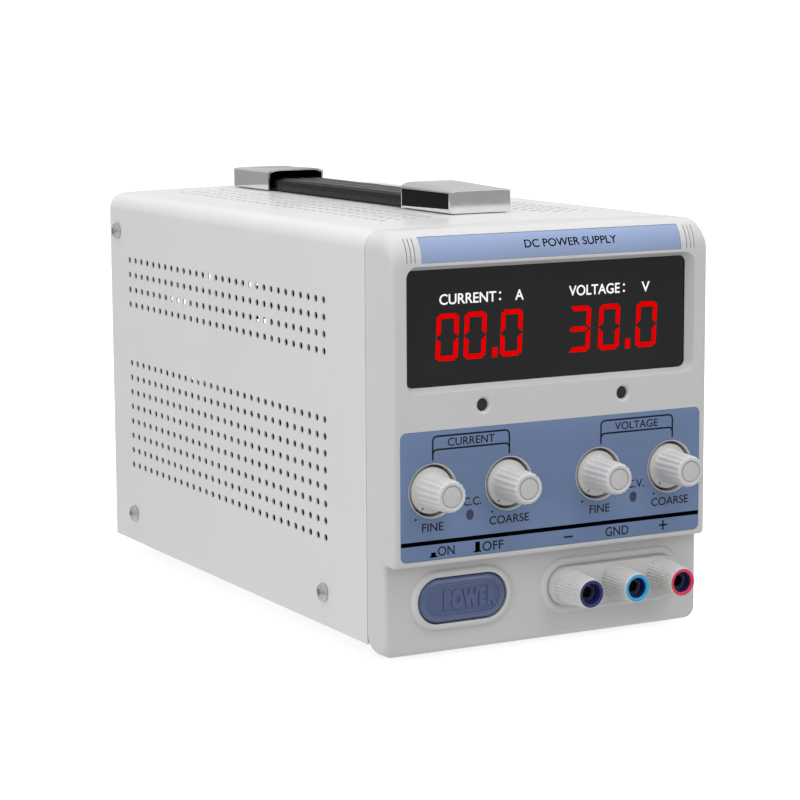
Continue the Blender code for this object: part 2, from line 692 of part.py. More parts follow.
def fan():
    """Square frame with a round duct and the motor's seat, and the rotor that turns in it."""
    back = COVER_REAR - 3.2 - GAP
    depth = 15.0
    front = back - depth
    frame = slab("fan_frame", [rounded(FAN_SIZE, FAN_SIZE, [4] * 4, 3), circle(28.5, 28)], depth,
                 (FAN_X, (front + back) / 2, FAN_Z), FACE_FRONT, BLACK)
    seat = turned("fan_seat", [(0, 1.2), (12, 1.2), (12, -1.2), (0, -1.2)],
                  (FAN_X, back - 1.5, FAN_Z), FACE_FRONT, sides=20)
    unite(frame, seat)
    for i in range(3):
        arm = box("fan_arm_%d" % i, (-1.5, -1.0, 9.0), (1.5, 1.0, 30.0))
        angle = math.radians(90 + 120 * i)
        arm.location = [value * MM for value in (FAN_X + 19.5 * math.sin(angle), back - 1.5,
                                                 FAN_Z + 19.5 * math.cos(angle))]
        arm.rotation_euler = (0, angle, 0)
        unite(frame, arm)
    hub_depth = depth - 5.0
    centre_y = front + 1.0 + hub_depth / 2
    rotor = turned("fan_rotor", [(0, hub_depth / 2), (11, hub_depth / 2), (12, hub_depth / 2 - 1),
                                 (12, -hub_depth / 2), (0, -hub_depth / 2)],
                   (FAN_X, centre_y, FAN_Z), FACE_FRONT, BLACK, sides=20)
    for i in range(7):
        angle = math.tau * i / 7
        blade = box("fan_blade_%d" % i, (-7.0, -0.6, -8.5), (7.0, 0.6, 8.5))
        blade.location = [value * MM for value in (FAN_X + 19.0 * math.sin(angle), centre_y,
                                                   FAN_Z + 19.0 * math.cos(angle))]
        blade.rotation_euler = (Matrix.Rotation(angle, 3, "Y")
                                @ Matrix.Rotation(math.radians(32), 3, "Z")).to_euler()
        unite(rotor, blade)


def mains_inlet():
    """Appliance inlet: flange outside the rear panel, socket body through it."""
    panel_back = COVER_REAR - 1.7
    body = slab("mains_inlet", [rounded(27.0, 19.5, [1.2] * 4, 2)], 21.7,
                (INLET_X, COVER_REAR - 0.4 - 21.7 / 2, INLET_Z), FACE_FRONT, BLACK)
    flange = slab("inlet_flange", [rounded(48.0, 22.5, [4] * 4, 3)], 1.3,
                  (INLET_X, panel_back + GAP + 0.65, INLET_Z), FACE_FRONT)
    unite(body, flange)
    socket = [(-12.0, -8.0), (12.0, -8.0), (12.0, 3.5), (7.5, 8.0), (-7.5, 8.0), (-12.0, 3.5)]
    cut(body, slab("inlet_socket", [socket], 17.0, (INLET_X, COVER_REAR - 8.0, INLET_Z),
                   FACE_FRONT))


front_bezel()
control_overlay()
strip_solid("title_strip", 0.0, STRIP_BLUE)
display_window()
display_modules()
mode_lamps()
knobs()
power_button()
terminals()
top_cover()
base_chassis()
rear_panel()
side_screws()
feet()
handle_caps()
strap()
transformer()
power_electronics()
fan()
mains_inlet()

for part in PARTS.objects:
    if part.type == "MESH":
        part.data.shade_smooth()
        part.data.set_sharp_from_angle(angle=math.radians(35))
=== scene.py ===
"""Looks for the bench power supply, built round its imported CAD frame.

Builders work in case millimetres: X to the right, Y from the bezel's face to the rear, Z up
from the cover's bottom edge. A mesh is moved to the row frame, in metres, when it is made.
"""
import math

import bmesh
import bpy
from mathutils import Matrix, Vector


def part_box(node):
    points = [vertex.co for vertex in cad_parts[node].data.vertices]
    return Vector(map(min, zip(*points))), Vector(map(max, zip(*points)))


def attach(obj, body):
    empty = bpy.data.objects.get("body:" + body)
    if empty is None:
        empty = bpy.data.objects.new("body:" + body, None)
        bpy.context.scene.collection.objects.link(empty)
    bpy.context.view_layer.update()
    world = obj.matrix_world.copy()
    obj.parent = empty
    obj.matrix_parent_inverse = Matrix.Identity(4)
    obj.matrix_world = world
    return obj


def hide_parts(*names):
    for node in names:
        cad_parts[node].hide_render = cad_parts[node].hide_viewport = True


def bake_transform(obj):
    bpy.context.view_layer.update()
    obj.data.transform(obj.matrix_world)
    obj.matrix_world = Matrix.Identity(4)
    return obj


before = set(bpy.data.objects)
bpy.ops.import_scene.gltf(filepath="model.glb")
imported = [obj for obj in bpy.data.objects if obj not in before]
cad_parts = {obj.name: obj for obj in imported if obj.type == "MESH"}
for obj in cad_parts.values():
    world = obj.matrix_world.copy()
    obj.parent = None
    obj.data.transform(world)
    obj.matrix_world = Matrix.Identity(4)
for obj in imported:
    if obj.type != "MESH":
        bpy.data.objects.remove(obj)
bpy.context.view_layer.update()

MM = 0.001
FACE_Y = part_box("front_bezel")[0].y
EDGE_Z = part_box("top_cover")[0].z
TO_ROW = Matrix.Translation((0, FACE_Y, EDGE_Z)) @ Matrix.Diagonal((MM, MM, MM, 1))


def case_box(node):
    """Low and high corners of a CAD node's box, in case millimetres."""
    return [(corner.x / MM, (corner.y - FACE_Y) / MM, (corner.z - EDGE_Z) / MM)
            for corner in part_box(node)]


# ---- dimensions of the frame (mm) ------------------------------------------------------
CROWN = 1.0
COVER_FRONT = 16.0
HALF, COVER_REAR, COVER_PEAK = case_box("top_cover")[1]
COVER_TOP = COVER_PEAK - CROWN
CORNER = 6.5          # radius of the cover's bends
TAPER = 1.6           # the bezel is this much narrower at its face, on each side
BEZEL_BOTTOM = case_box("front_bezel")[0][2]
TOP_ROUND = 10.8      # height of the elliptic round along the top front edge
ROUND_DEPTH = 8.8
FRONT_LIFT = 0.35     # the bezel stands this much above the cover at its face
SIDE_ROUND = 1.6
LOWER_FACE = 6.0      # how far the lower block is set back
STEP = 28.7           # height of the step between the two blocks
WALL = 4.0
WINDOW = (112.8, 39.7, 109.15)    # width, height and middle height
OVERLAY = (121.2, 44.3, 52.8)
OVERLAY_HOLE = 9.55
FILM = 0.5
KNOB_X = {"current_fine": -48.1, "current_coarse": -18.2,
          "voltage_fine": 18.2, "voltage_coarse": 48.1}
KNOB_Z = 54.5
WELL = 9.0            # radius of the wells that the knobs stand in
LAMP = (33.2, 45.1)
ACCESS = (28.2, 82.3)
BUTTON = (34.6, 15.7)
BUTTON_SPOT = (-33.9, 15.0)
BUTTON_GAP = 0.7
POST_X = {"negative": 8.3, "ground": 27.3, "positive": 46.3}
POST_Z = 14.8
POST_TIP = 11.5
TERMINAL = (53.0, 14.0)
TERMINAL_FACE = 5.6
INSERT_GAP = 1.3
SHEET = 0.5
SCREWS = ((49.0, 12.0), (220.4, 11.7), (233.2, 127.0))
SCREW_NAMES = ("front", "rear", "upper")
CAP_RISE = {"front": 1.4, "rear": 0.9}
FRONT_CAP_LIFT = 0.5  # the part of the front cap's rise that is not crown
CAP_WALL = 0.7
FAN = (-22.0, 88.0)
FAN_SCREW = 25.0      # the fan's screws are this far from its middle, across and up
GUARD_RINGS = (8.0, 14.5, 21.0, 27.5)
GUARD_ARM = 35.0
WIRE = 0.7
INLET = (30.0, 22.0)
INLET_FLANGE = (48.0, 22.5)
INLET_BODY = (27.0, 19.5)
PIN = (2.0, 4.0)
VENT_PITCH = 6.0
VENT_RADIUS = 1.3

FRONT = (0, -1, 0)
REAR = (0, 1, 0)
DOWN = (0, 0, -1)


def facing(normal, spot):
    """A frame at spot whose local Z is normal, with local Y up (or rearward)."""
    z = Vector(normal)
    y = Vector((0, 0, 1)) if abs(z.z) < 0.5 else Vector((0, 1, 0))
    matrix = Matrix((y.cross(z), y, z)).transposed().to_4x4()
    matrix.translation = Vector(spot)
    return matrix


BEZEL_FRAME = facing(FRONT, (0, 0, 0))


# ---- outlines --------------------------------------------------------------------------
def rounded(width, height, radii, steps=8, centre=(0.0, 0.0)):
    """Outline of a rectangle with round corners: radii from bottom left, anticlockwise."""
    if not hasattr(radii, "__len__"):
        radii = [radii] * 4
    outline = []
    for corner, (sign_x, sign_y) in enumerate(((-1, -1), (1, -1), (1, 1), (-1, 1))):
        radius = radii[corner]
        middle_x = centre[0] + sign_x * (width / 2 - radius)
        middle_y = centre[1] + sign_y * (height / 2 - radius)
        for step in range(steps + 1):
            angle = math.radians(180 + 90 * corner + 90 * step / steps)
            outline.append((middle_x + radius * math.cos(angle),
                            middle_y + radius * math.sin(angle)))
    return outline


def crowned_box(width, height, radii, middle, rise, steps=10, power=2):
    """A rounded rectangle whose top edge rises to the middle."""
    outline = rounded(width, height, radii, steps, (0, middle))
    reach = width / 2 - radii[2]
    top = middle + height / 2
    crown = [(reach * k / 9, top + rise * (1 - abs(k / 9) ** power)) for k in range(8, -9, -1)]
    cut = 3 * (steps + 1)
    return outline[:cut] + crown + outline[cut:]


def pill(width, height, steps=14):
    return rounded(width, height, height / 2 - 0.02, steps)


def circle(radius, sides=48, centre=(0.0, 0.0)):
    return [(centre[0] + radius * math.cos(math.tau * i / sides),
             centre[1] + radius * math.sin(math.tau * i / sides)) for i in range(sides)]


def ribbed(radius, depth, ribs, per_rib):
    """A circle with ribs: depth is how far the valleys go in."""
    outline = []
    sides = ribs * per_rib
    for i in range(sides):
        angle = math.tau * i / sides
        valley = 0.5 - 0.5 * math.cos(ribs * angle)
        reach = radius - depth * valley
        outline.append((reach * math.cos(angle), reach * math.sin(angle)))
    return outline


def crown_at(x, y):
    """How much the case's top stands above its sides; the front edge stays straight."""
    along = min(1.0, max(0.0, (y - 4.5) / 15.5))
    across = max(0.0, 1 - (x / (HALF - CORNER)) ** 2)
    return CROWN * across * along * along * (3 - 2 * along)


def bezel_top(depth):
    """Height of the bezel's top edge: an elliptic round, then down to the cover's shoulders."""
    along = min(1.0, max(0.0, (depth - 4.5) / 11.5))
    lift = FRONT_LIFT * (1 - along * along * (3 - 2 * along))
    reach = max(0.0, (ROUND_DEPTH - depth) / ROUND_DEPTH)
    return COVER_TOP + lift - TOP_ROUND * (1 - math.sqrt(1 - reach ** 2))


def fillet(travel, radius):
    """How far a quarter-round of that radius is set in, that far from its start."""
    if travel >= radius:
        return 0.0
    return radius - math.sqrt(radius ** 2 - (radius - travel) ** 2)


# ---- meshes ----------------------------------------------------------------------------
def linked(name, data):
    """A new object in the scene that holds the data."""
    obj = bpy.data.objects.new(name, data)
    bpy.context.scene.collection.objects.link(obj)
    return obj


def baked(holder, *tools):
    """The mesh that an object shows; the object and its tools are removed."""
    bpy.context.view_layer.update()
    depsgraph = bpy.context.evaluated_depsgraph_get()
    mesh = bpy.data.meshes.new_from_object(holder.evaluated_get(depsgraph))
    for obj in (holder, *tools):
        bpy.data.objects.remove(obj, do_unlink=True)
    return mesh


def emptied(bm):
    """The mesh of a bmesh, which is freed."""
    mesh = bpy.data.meshes.new("mesh")
    bm.to_mesh(mesh)
    bm.free()
    return mesh


def mesh_of(bm, matrix=None):
    """Finish a bmesh made in case millimetres and bring it to the row frame."""
    bmesh.ops.recalc_face_normals(bm, faces=bm.faces)
    if matrix is not None:
        bm.transform(matrix)
    bm.transform(TO_ROW)
    return emptied(bm)


def band(bm, lower, upper):
    """Faces between two closed rows of vertices."""
    for i in range(len(lower)):
        j = (i + 1) % len(lower)
        bm.faces.new((lower[i], lower[j], upper[j], upper[i]))


def skin(bm, rows, closed):
    """Faces along the rows, with a cap at both ends unless the last meets the first."""
    for lower, upper in zip(rows, rows[1:]):
        band(bm, lower, upper)
    if closed:
        band(bm, rows[-1], rows[0])
        return
    bm.faces.new(rows[0])
    bm.faces.new(rows[-1])


def loft(rings, matrix, closed=False):
    """A solid through outlines of equal length, each (outline, height)."""
    bm = bmesh.new()
    rows = [[bm.verts.new((x, y, height)) for x, y in outline] for outline, height in rings]
    skin(bm, rows, closed)
    return mesh_of(bm, matrix)


def polygon(points, low, high, matrix):
    """A straight solid between two heights."""
    return loft([(points, low), (points, high)], matrix)


def lathe(profile, matrix, sides=48, closed=False):
    """A turned solid from (radius, height) points."""
    return loft([(circle(max(radius, 0.02), sides), height) for radius, height in profile],
                matrix, closed)


def plate(outlines, low, high, matrix, edge=0.0):
    """A flat solid between two heights; the first outline is outside, the rest are holes."""
    curve = bpy.data.curves.new("plate", "CURVE")
    curve.dimensions = "2D"
    curve.fill_mode = "BOTH"
    curve.extrude = (high - low) / 2 - edge
    curve.bevel_depth = edge
    curve.bevel_resolution = 2
    curve.offset = -edge
    for outline in outlines:
        spline = curve.splines.new("POLY")
        spline.points.add(len(outline) - 1)
        for point, (x, y) in zip(spline.points, outline):
            point.co = (x, y, 0, 1)
        spline.use_cyclic_u = True
    return from_curve(curve, matrix @ Matrix.Translation((0, 0, (low + high) / 2)))


def from_curve(curve, matrix):
    """The mesh of a curve made in millimetres, in the row frame."""
    bm = bmesh.new()
    bm.from_mesh(baked(linked("curve", curve)))
    bmesh.ops.remove_doubles(bm, verts=bm.verts, dist=0.002)
    return mesh_of(bm, matrix)


def box(low, high):
    """A box between two corners in case millimetres (cutters and plain inner parts)."""
    bm = bmesh.new()
    size = [b - a for a, b in zip(low, high)]
    centre = [(a + b) / 2 for a, b in zip(low, high)]
    bmesh.ops.create_cube(bm, size=1.0, matrix=Matrix.Translation(centre)
                          @ Matrix.Diagonal((*size, 1.0)))
    return mesh_of(bm)


def sweep(points, radius, sides=10, cyclic=False):
    """A round wire along points in case millimetres."""
    points = [Vector(point) for point in points]
    bm = bmesh.new()
    rows = []
    last = len(points) - 1
    for i, point in enumerate(points):
        before = points[i - 1] if i > 0 or cyclic else point
        after = points[(i + 1) % len(points)] if i < last or cyclic else point
        along = (after - before).normalized()
        side = along.orthogonal() if i == 0 else side - along * side.dot(along)
        side.normalize()
        other = along.cross(side)
        rows.append([bm.verts.new(point + radius * (math.cos(math.tau * k / sides) * side
                                                    + math.sin(math.tau * k / sides) * other))
                     for k in range(sides)])
    skin(bm, rows, cyclic)
    return mesh_of(bm)


def joined(*meshes):
    """Several meshes as one."""
    bm = bmesh.new()
    for mesh in meshes:
        bm.from_mesh(mesh)
    return emptied(bm)


def combined(base, steps):
    """Boolean steps, each (operation, mesh), worked out in millimetres and baked."""
    grow = Matrix.Diagonal((1 / MM, 1 / MM, 1 / MM, 1))
    base.transform(grow)
    holder = linked("base", base)
    tools = []
    for operation, mesh in steps:
        mesh.transform(grow)
        tools.append(linked("tool", mesh))
        boolean = holder.modifiers.new("boolean", "BOOLEAN")
        boolean.operation = operation
        boolean.solver = "EXACT"
        boolean.object = tools[-1]
    result = baked(holder, *tools)
    result.transform(Matrix.Diagonal((MM, MM, MM, 1)))
    return result


def piece(name, mesh, mat, body, replaces=(), crease=30.0, ride=True):
    """A finished piece: shaded smooth up to the crease angle, riding on a CAD body."""
    mesh.name = name
    mesh.materials.clear()
    mesh.materials.append(mat)
    mesh.shade_smooth()
    mesh.set_sharp_from_angle(angle=math.radians(crease))
    obj = linked(name, mesh)
    if ride:
        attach(obj, body)
    if replaces:
        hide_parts(*replaces)
    return obj


def keep_flats_flat(obj):
    obj.modifiers.new("weighted_normals", "WEIGHTED_NORMAL").keep_sharp = True


# ---- materials -------------------------------------------------------------------------
def tone(red, green, blue, scale=1.0):
    """Linear colour from display values 0 to 255."""
    linear = []
    for value in (red, green, blue):
        value = value / 255
        low = value / 12.92
        high = ((value + 0.055) / 1.055) ** 2.4
        linear.append(scale * (low if value <= 0.04045 else high))
    return (*linear, 1.0)


WHITE = (1.0, 1.0, 1.0, 1.0)


def shader_of(mat):
    return mat.node_tree.nodes["Principled BSDF"]


def noise_node(tree, coords, scale, detail=2.0, stretch=None):
    node = tree.nodes.new("ShaderNodeTexNoise")
    node.inputs["Scale"].default_value = scale
    node.inputs["Detail"].default_value = detail
    source = coords
    if stretch:
        mapping = tree.nodes.new("ShaderNodeMapping")
        mapping.inputs["Scale"].default_value = stretch
        tree.links.new(coords, mapping.inputs["Vector"])
        source = mapping.outputs["Vector"]
    tree.links.new(source, node.inputs["Vector"])
    return node.outputs["Fac"]


def ranged(tree, value, low, high, start=0.3, stop=0.7):
    node = tree.nodes.new("ShaderNodeMapRange")
    node.inputs["From Min"].default_value = start
    node.inputs["From Max"].default_value = stop
    node.inputs["To Min"].default_value = low
    node.inputs["To Max"].default_value = high
    tree.links.new(value, node.inputs["Value"])
    return node.outputs["Result"]


def finish(name, colour, roughness, metallic=0.0, shade=0.03, shade_size=30.0, spread=0.05,
           grain=0.3, bump=0.15, depth=0.02, stretch=None, coat=0.0, specular=0.5):
    """A surface with mottled colour, uneven gloss and a fine relief.

    grain is the size of the relief and depth its height, both in millimetres;
    shade_size is the size of the colour's mottling.
    """
    mat = bpy.data.materials.new(name)
    mat.use_nodes = True
    tree = mat.node_tree
    shader = shader_of(mat)
    coords = tree.nodes.new("ShaderNodeTexCoord").outputs["Object"]
    mottle = noise_node(tree, coords, 1000 / shade_size, 3.0, stretch)
    mix = tree.nodes.new("ShaderNodeMix")
    mix.data_type = "RGBA"
    mix.inputs["A"].default_value = (*[c * (1 - shade) for c in colour[:3]], 1.0)
    mix.inputs["B"].default_value = (*[min(1.0, c * (1 + shade)) for c in colour[:3]], 1.0)
    tree.links.new(ranged(tree, mottle, 0.0, 1.0), mix.inputs["Factor"])
    tree.links.new(mix.outputs["Result"], shader.inputs["Base Color"])
    gloss = noise_node(tree, coords, 1000 / (shade_size * 0.4), 4.0, stretch)
    tree.links.new(ranged(tree, gloss, roughness - spread, roughness + spread),
                   shader.inputs["Roughness"])
    relief = noise_node(tree, coords, 1000 / grain, 3.0, stretch)
    node = tree.nodes.new("ShaderNodeBump")
    node.inputs["Strength"].default_value = bump
    node.inputs["Distance"].default_value = depth * MM
    tree.links.new(relief, node.inputs["Height"])
    tree.links.new(node.outputs["Normal"], shader.inputs["Normal"])
    shader.inputs["Metallic"].default_value = metallic
    shader.inputs["Coat Weight"].default_value = coat
    shader.inputs["Coat Roughness"].default_value = 0.12
    shader.inputs["Specular IOR Level"].default_value = specular
    return mat


def lit(mat, strength):
    """Add a white glow to a finished surface."""
    shader_of(mat).inputs["Emission Color"].default_value = WHITE
    shader_of(mat).inputs["Emission Strength"].default_value = strength


def glowing(name, colour, strength):
    """A dark surface that gives off its colour, slightly unevenly."""
    mat = bpy.data.materials.new(name)
    mat.use_nodes = True
    tree = mat.node_tree
    shader = shader_of(mat)
    coords = tree.nodes.new("ShaderNodeTexCoord").outputs["Object"]
    grain = noise_node(tree, coords, 900.0)
    shader.inputs["Base Color"].default_value = (*[0.1 * c for c in colour[:3]], 1.0)
    shader.inputs["Roughness"].default_value = 0.4
    shader.inputs["Specular IOR Level"].default_value = 0.0
    shader.inputs["Emission Color"].default_value = colour
    tree.links.new(ranged(tree, grain, strength * 0.94, strength * 1.06),
                   shader.inputs["Emission Strength"])
    return mat


PRINTED = {"shade_size": 4, "grain": 0.1, "bump": 0.1, "depth": 0.004}
COVER_PAINT = finish("cover_paint", tone(219, 219, 218), 0.34, shade=0.012, grain=0.9,
                     bump=0.1, depth=0.02, spread=0.04, coat=0.3)
CHASSIS_METAL = finish("chassis_metal", tone(196, 198, 198), 0.4, metallic=0.8, shade=0.05,
                       grain=0.5, bump=0.1, stretch=(1, 6, 1))
BEZEL_PLASTIC = finish("bezel_plastic", tone(203, 203, 203), 0.46, shade=0.012, grain=0.35,
                       bump=0.18, depth=0.015, coat=0.25)
KNOB_PLASTIC = finish("knob_plastic", tone(204, 204, 202), 0.38, shade=0.012, grain=0.35,
                      bump=0.1, depth=0.01)
KNOB_CAP = finish("knob_cap", tone(196, 196, 195), 0.42, shade=0.015, grain=0.3, bump=0.1,
                  depth=0.01)
OVERLAY_FILM = finish("overlay_film", tone(106, 127, 165), 0.5, shade=0.03, shade_size=60,
                      grain=0.22, bump=0.2, depth=0.012)
TITLE_FILM = finish("title_film", tone(142, 160, 197), 0.45, shade=0.03, grain=0.25, bump=0.2,
                    depth=0.012)
PRINT_BLACK = finish("print_black", tone(2, 2, 3), 0.8, shade=0.1, specular=0.0, **PRINTED)
PRINT_GREY = finish("print_grey", tone(22, 24, 32), 0.6, shade=0.1, specular=0.2, **PRINTED)
POINTER_GREY = finish("pointer_grey", tone(120, 120, 118), 0.5, shade=0.1, **PRINTED)
PRINT_WHITE_PAINTED_GLOW = finish("print_white_painted_glow", tone(250, 250, 250), 0.5, shade=0.02, **PRINTED)
# The white print on the display window gets a painted glow: it is print, no lamp.
lit(PRINT_WHITE_PAINTED_GLOW, 0.3)
DISPLAY = finish("display_filter", tone(26, 26, 27), 0.16, shade=0.06, shade_size=80, grain=8.0,
                 bump=0.02, depth=0.01, spread=0.04)
DIGITS = glowing("display_digits", (1.0, 0.0, 0.0, 1.0), 0.7)
BUTTON_PLASTIC = finish("button_plastic", tone(76, 92, 134), 0.22, shade=0.02, grain=0.4,
                        bump=0.08, depth=0.01, coat=0.7)
LAMP_LENS = finish("lamp_lens", tone(48, 48, 86), 0.3, shade=0.12, shade_size=2, grain=0.3,
                   bump=0.05, coat=0.5)
RINGS = {
    "negative": finish("collar_navy", tone(40, 50, 108), 0.3, shade=0.04, shade_size=5),
    "ground": finish("collar_cyan", tone(40, 166, 224), 0.3, shade=0.03, shade_size=5),
    "positive": finish("collar_red", tone(222, 56, 92), 0.3, shade=0.03, shade_size=5),
}
LINING = finish("lining_navy", tone(34, 39, 92), 0.16, shade=0.06, shade_size=4, coat=0.5)
SOCKET_METAL = finish("socket_metal", tone(150, 140, 120), 0.3, metallic=1.0, shade=0.08,
                      shade_size=3, grain=0.2)
CHROME = finish("chrome", tone(232, 233, 236), 0.09, metallic=1.0, shade=0.02, shade_size=20,
                grain=6.0, bump=0.03, depth=0.02, spread=0.03)
SCREW_METAL = finish("screw_metal", tone(205, 206, 208), 0.22, metallic=1.0, shade=0.06,
                     shade_size=3, grain=0.3, bump=0.1, depth=0.01)
STEEL = finish("steel", tone(170, 172, 174), 0.35, metallic=1.0, shade=0.08, grain=0.4)
ALUMINIUM = finish("aluminium", tone(186, 188, 190), 0.38, metallic=1.0, shade=0.06,
                   stretch=(8, 1, 1), grain=0.6)
STRAP_RUBBER = finish("strap_rubber", tone(7, 7, 8), 0.3, shade=0.1, shade_size=10,
                      grain=0.35, bump=0.2, depth=0.02, specular=0.18)
# Near-black for the handle caps: painted shade inside both caps, and a painted dark reflection on
# the front cap's sides.
CAP_PAINTED_SHADE_AND_REFLECTION = finish("cap_painted_shade_and_reflection", tone(7, 7, 8), 0.3, shade=0.1, shade_size=12, grain=0.5,
                   bump=0.08, depth=0.01, specular=0.05)
FOOT_RUBBER = finish("foot_rubber", tone(30, 30, 31), 0.65, shade=0.12, shade_size=6, grain=0.4,
                     bump=0.3, depth=0.03)
BLACK_PLASTIC = finish("black_plastic", tone(32, 32, 33), 0.42, shade=0.08, grain=0.4, bump=0.2,
                       depth=0.015)
# Trimmer discs in the access holes: their dark grey also paints the holes' shade.
TRIMMER_SHADE_GREY = finish("trimmer_painted_shade", tone(58, 58, 59), 0.45, shade=0.06, shade_size=4,
                      specular=0.1)
BOARD = finish("circuit_board", tone(34, 92, 52), 0.35, shade=0.15, shade_size=3, grain=0.5)
WINDING = finish("winding_tape", tone(196, 160, 60), 0.4, shade=0.08, shade_size=8,
                 stretch=(1, 1, 6))

CAD_FINISH = {
    "base_chassis": CHASSIS_METAL, "rear_panel": COVER_PAINT, "transformer_core": STEEL,
    "transformer_winding": WINDING, "main_board": BOARD, "control_board": BOARD,
    "filter_capacitor": BLACK_PLASTIC, "heat_sink": ALUMINIUM, "power_switch": BLACK_PLASTIC,
    "current_display": BLACK_PLASTIC, "voltage_display": BLACK_PLASTIC,
    "led_cc": LAMP_LENS, "led_cv": LAMP_LENS, "fan_frame": BLACK_PLASTIC,
}
for knob in KNOB_X:
    CAD_FINISH["shaft_" + knob] = STEEL
    CAD_FINISH["pot_" + knob] = STEEL
for post in POST_X:
    CAD_FINISH["post_stud_" + post] = SOCKET_METAL


def finish_cad():
    """Every CAD node that stays gets its material."""
    for name, mat in CAD_FINISH.items():
        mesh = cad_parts[name].data
        mesh.materials.clear()
        mesh.materials.append(mat)


# ---- camera, light and floor -----------------------------------------------------------
CAMERA_ANGLES = (-28.433, 8.451, -0.327)     # azimuth, elevation and roll in degrees
CAMERA_AIM = (-60.583, 0, 86.494)            # the spot that the camera looks at
CAMERA_DISTANCE = 863.87
CAMERA_LENS = 116.615
SENSOR_WIDTH = 36.0


def make_camera():
    azimuth, elevation, roll = (math.radians(angle) for angle in CAMERA_ANGLES)
    back = Vector((math.sin(azimuth) * math.cos(elevation),
                   -math.cos(azimuth) * math.cos(elevation), math.sin(elevation)))
    level = Vector((math.cos(azimuth), math.sin(azimuth), 0))
    upright = back.cross(level)
    right = math.cos(roll) * level + math.sin(roll) * upright
    above = math.cos(roll) * upright - math.sin(roll) * level
    matrix = Matrix((right, above, back)).transposed().to_4x4()
    matrix.translation = TO_ROW @ (Vector(CAMERA_AIM) + back * CAMERA_DISTANCE)
    data = bpy.data.cameras.new("camera")
    data.lens = CAMERA_LENS
    data.sensor_width = SENSOR_WIDTH
    data.clip_start = 0.05
    data.clip_end = 20.0
    camera = linked("camera", data)
    camera.matrix_world = matrix
    bpy.context.scene.camera = camera


def area_light(name, spot, target, size, power, mirrored=True):
    data = bpy.data.lights.new(name, "AREA")
    data.shape = "RECTANGLE"
    data.size = size[0]
    data.size_y = size[1]
    data.energy = power
    light = linked(name, data)
    light.location = spot
    light.rotation_euler = (Vector(target) - Vector(spot)).to_track_quat("-Z", "Y").to_euler()
    light.visible_glossy = mirrored


def make_world():
    """Even grey room light, brighter from below than at the horizon."""
    world = bpy.data.worlds.new("studio")
    bpy.context.scene.world = world
    world.use_nodes = True
    tree = world.node_tree
    coords = tree.nodes.new("ShaderNodeTexCoord")
    split = tree.nodes.new("ShaderNodeSeparateXYZ")
    ramp = tree.nodes.new("ShaderNodeValToRGB")
    tree.links.new(coords.outputs["Generated"], split.inputs["Vector"])
    height = ranged(tree, split.outputs["Z"], 0.0, 1.0, -1.0, 1.0)
    tree.links.new(height, ramp.inputs["Fac"])
    stops = ((0.0, 0.8), (0.36, 0.62), (0.43, 0.33), (0.5, 0.42), (0.535, 0.66), (0.62, 0.58),
             (1.0, 0.74))
    for i, (place, value) in enumerate(stops):
        stop = ramp.color_ramp.elements[i] if i < 2 else ramp.color_ramp.elements.new(place)
        stop.position = place
        stop.color = (value, value, value, 1.0)
    tree.links.new(ramp.outputs["Color"], tree.nodes["Background"].inputs["Color"])
    tree.nodes["Background"].inputs["Strength"].default_value = 1.0


def stage_piece(name, bm, mat, seen_only):
    """Floor or backdrop: seen by the camera, and left out of mirrors and of bounced light."""
    mesh = emptied(bm)
    mesh.name = name
    mesh.materials.append(mat)
    obj = linked(name, mesh)
    obj.visible_glossy = False
    obj.visible_diffuse = False
    obj.visible_transmission = False
    obj.visible_shadow = not seen_only
    return obj


def make_studio():
    make_world()
    area_light("top_softbox", (0.15, -0.2, 1.3), (0, 0, 0.1), (1.3, 1.3), 13.5, False)
    area_light("left_softbox", (-1.4, -0.35, 0.36), (0, 0, 0.08), (1.1, 0.5), 7.0, False)
    area_light("front_softbox", (0.7, -1.4, 0.9), (0, -0.1, 0.08), (1.0, 0.7), 1.8)

    floor = finish("floor", (0.8, 0.8, 0.8, 1.0), 0.7, shade=0.01, shade_size=300, grain=4.0,
                   bump=0.02)
    lit(floor, 0.62)
    bm = bmesh.new()
    bmesh.ops.create_circle(bm, cap_ends=True, segments=96, radius=8.0)
    plane = stage_piece("floor", bm, floor, False)
    plane.location = (0, 0, -0.0002)
    backdrop = glowing("backdrop", WHITE, 1.1)
    bm = bmesh.new()
    bmesh.ops.create_uvsphere(bm, u_segments=48, v_segments=24, radius=9.0)
    stage_piece("backdrop", bm, backdrop, True)
    settings = bpy.context.scene.view_settings
    settings.view_transform = "Standard"
    settings.look = "None"


# ---- bezel -----------------------------------------------------------------------------
def bezel_half_width(depth):
    return HALF - TAPER * (COVER_FRONT - depth) / COVER_FRONT


def upper_block():
    """Main front block: a ring at each depth, so every outer edge is a true round."""
    rings = []
    for depth in (0, 0.08, 0.25, 0.5, 0.85, 1.3, 1.8, 2.5, 3.3, 4.2, 5.2, 6.4, 7.6, 8.8, 11.0, 13.5,
                  COVER_FRONT):
        half = bezel_half_width(depth) - fillet(depth, SIDE_ROUND)
        top = bezel_top(depth)
        bottom = STEP + fillet(depth, 1.0)
        corner = CORNER - 2.0 * max(0.0, 1 - depth / ROUND_DEPTH) ** 2
        middle = (top + bottom) / 2
        rise = crown_at(0, depth)
        outline = crowned_box(2 * half, top - bottom, [1.5, 1.5, corner, corner], middle, rise)
        rings.append((outline, -depth))
    return loft(rings, BEZEL_FRAME)


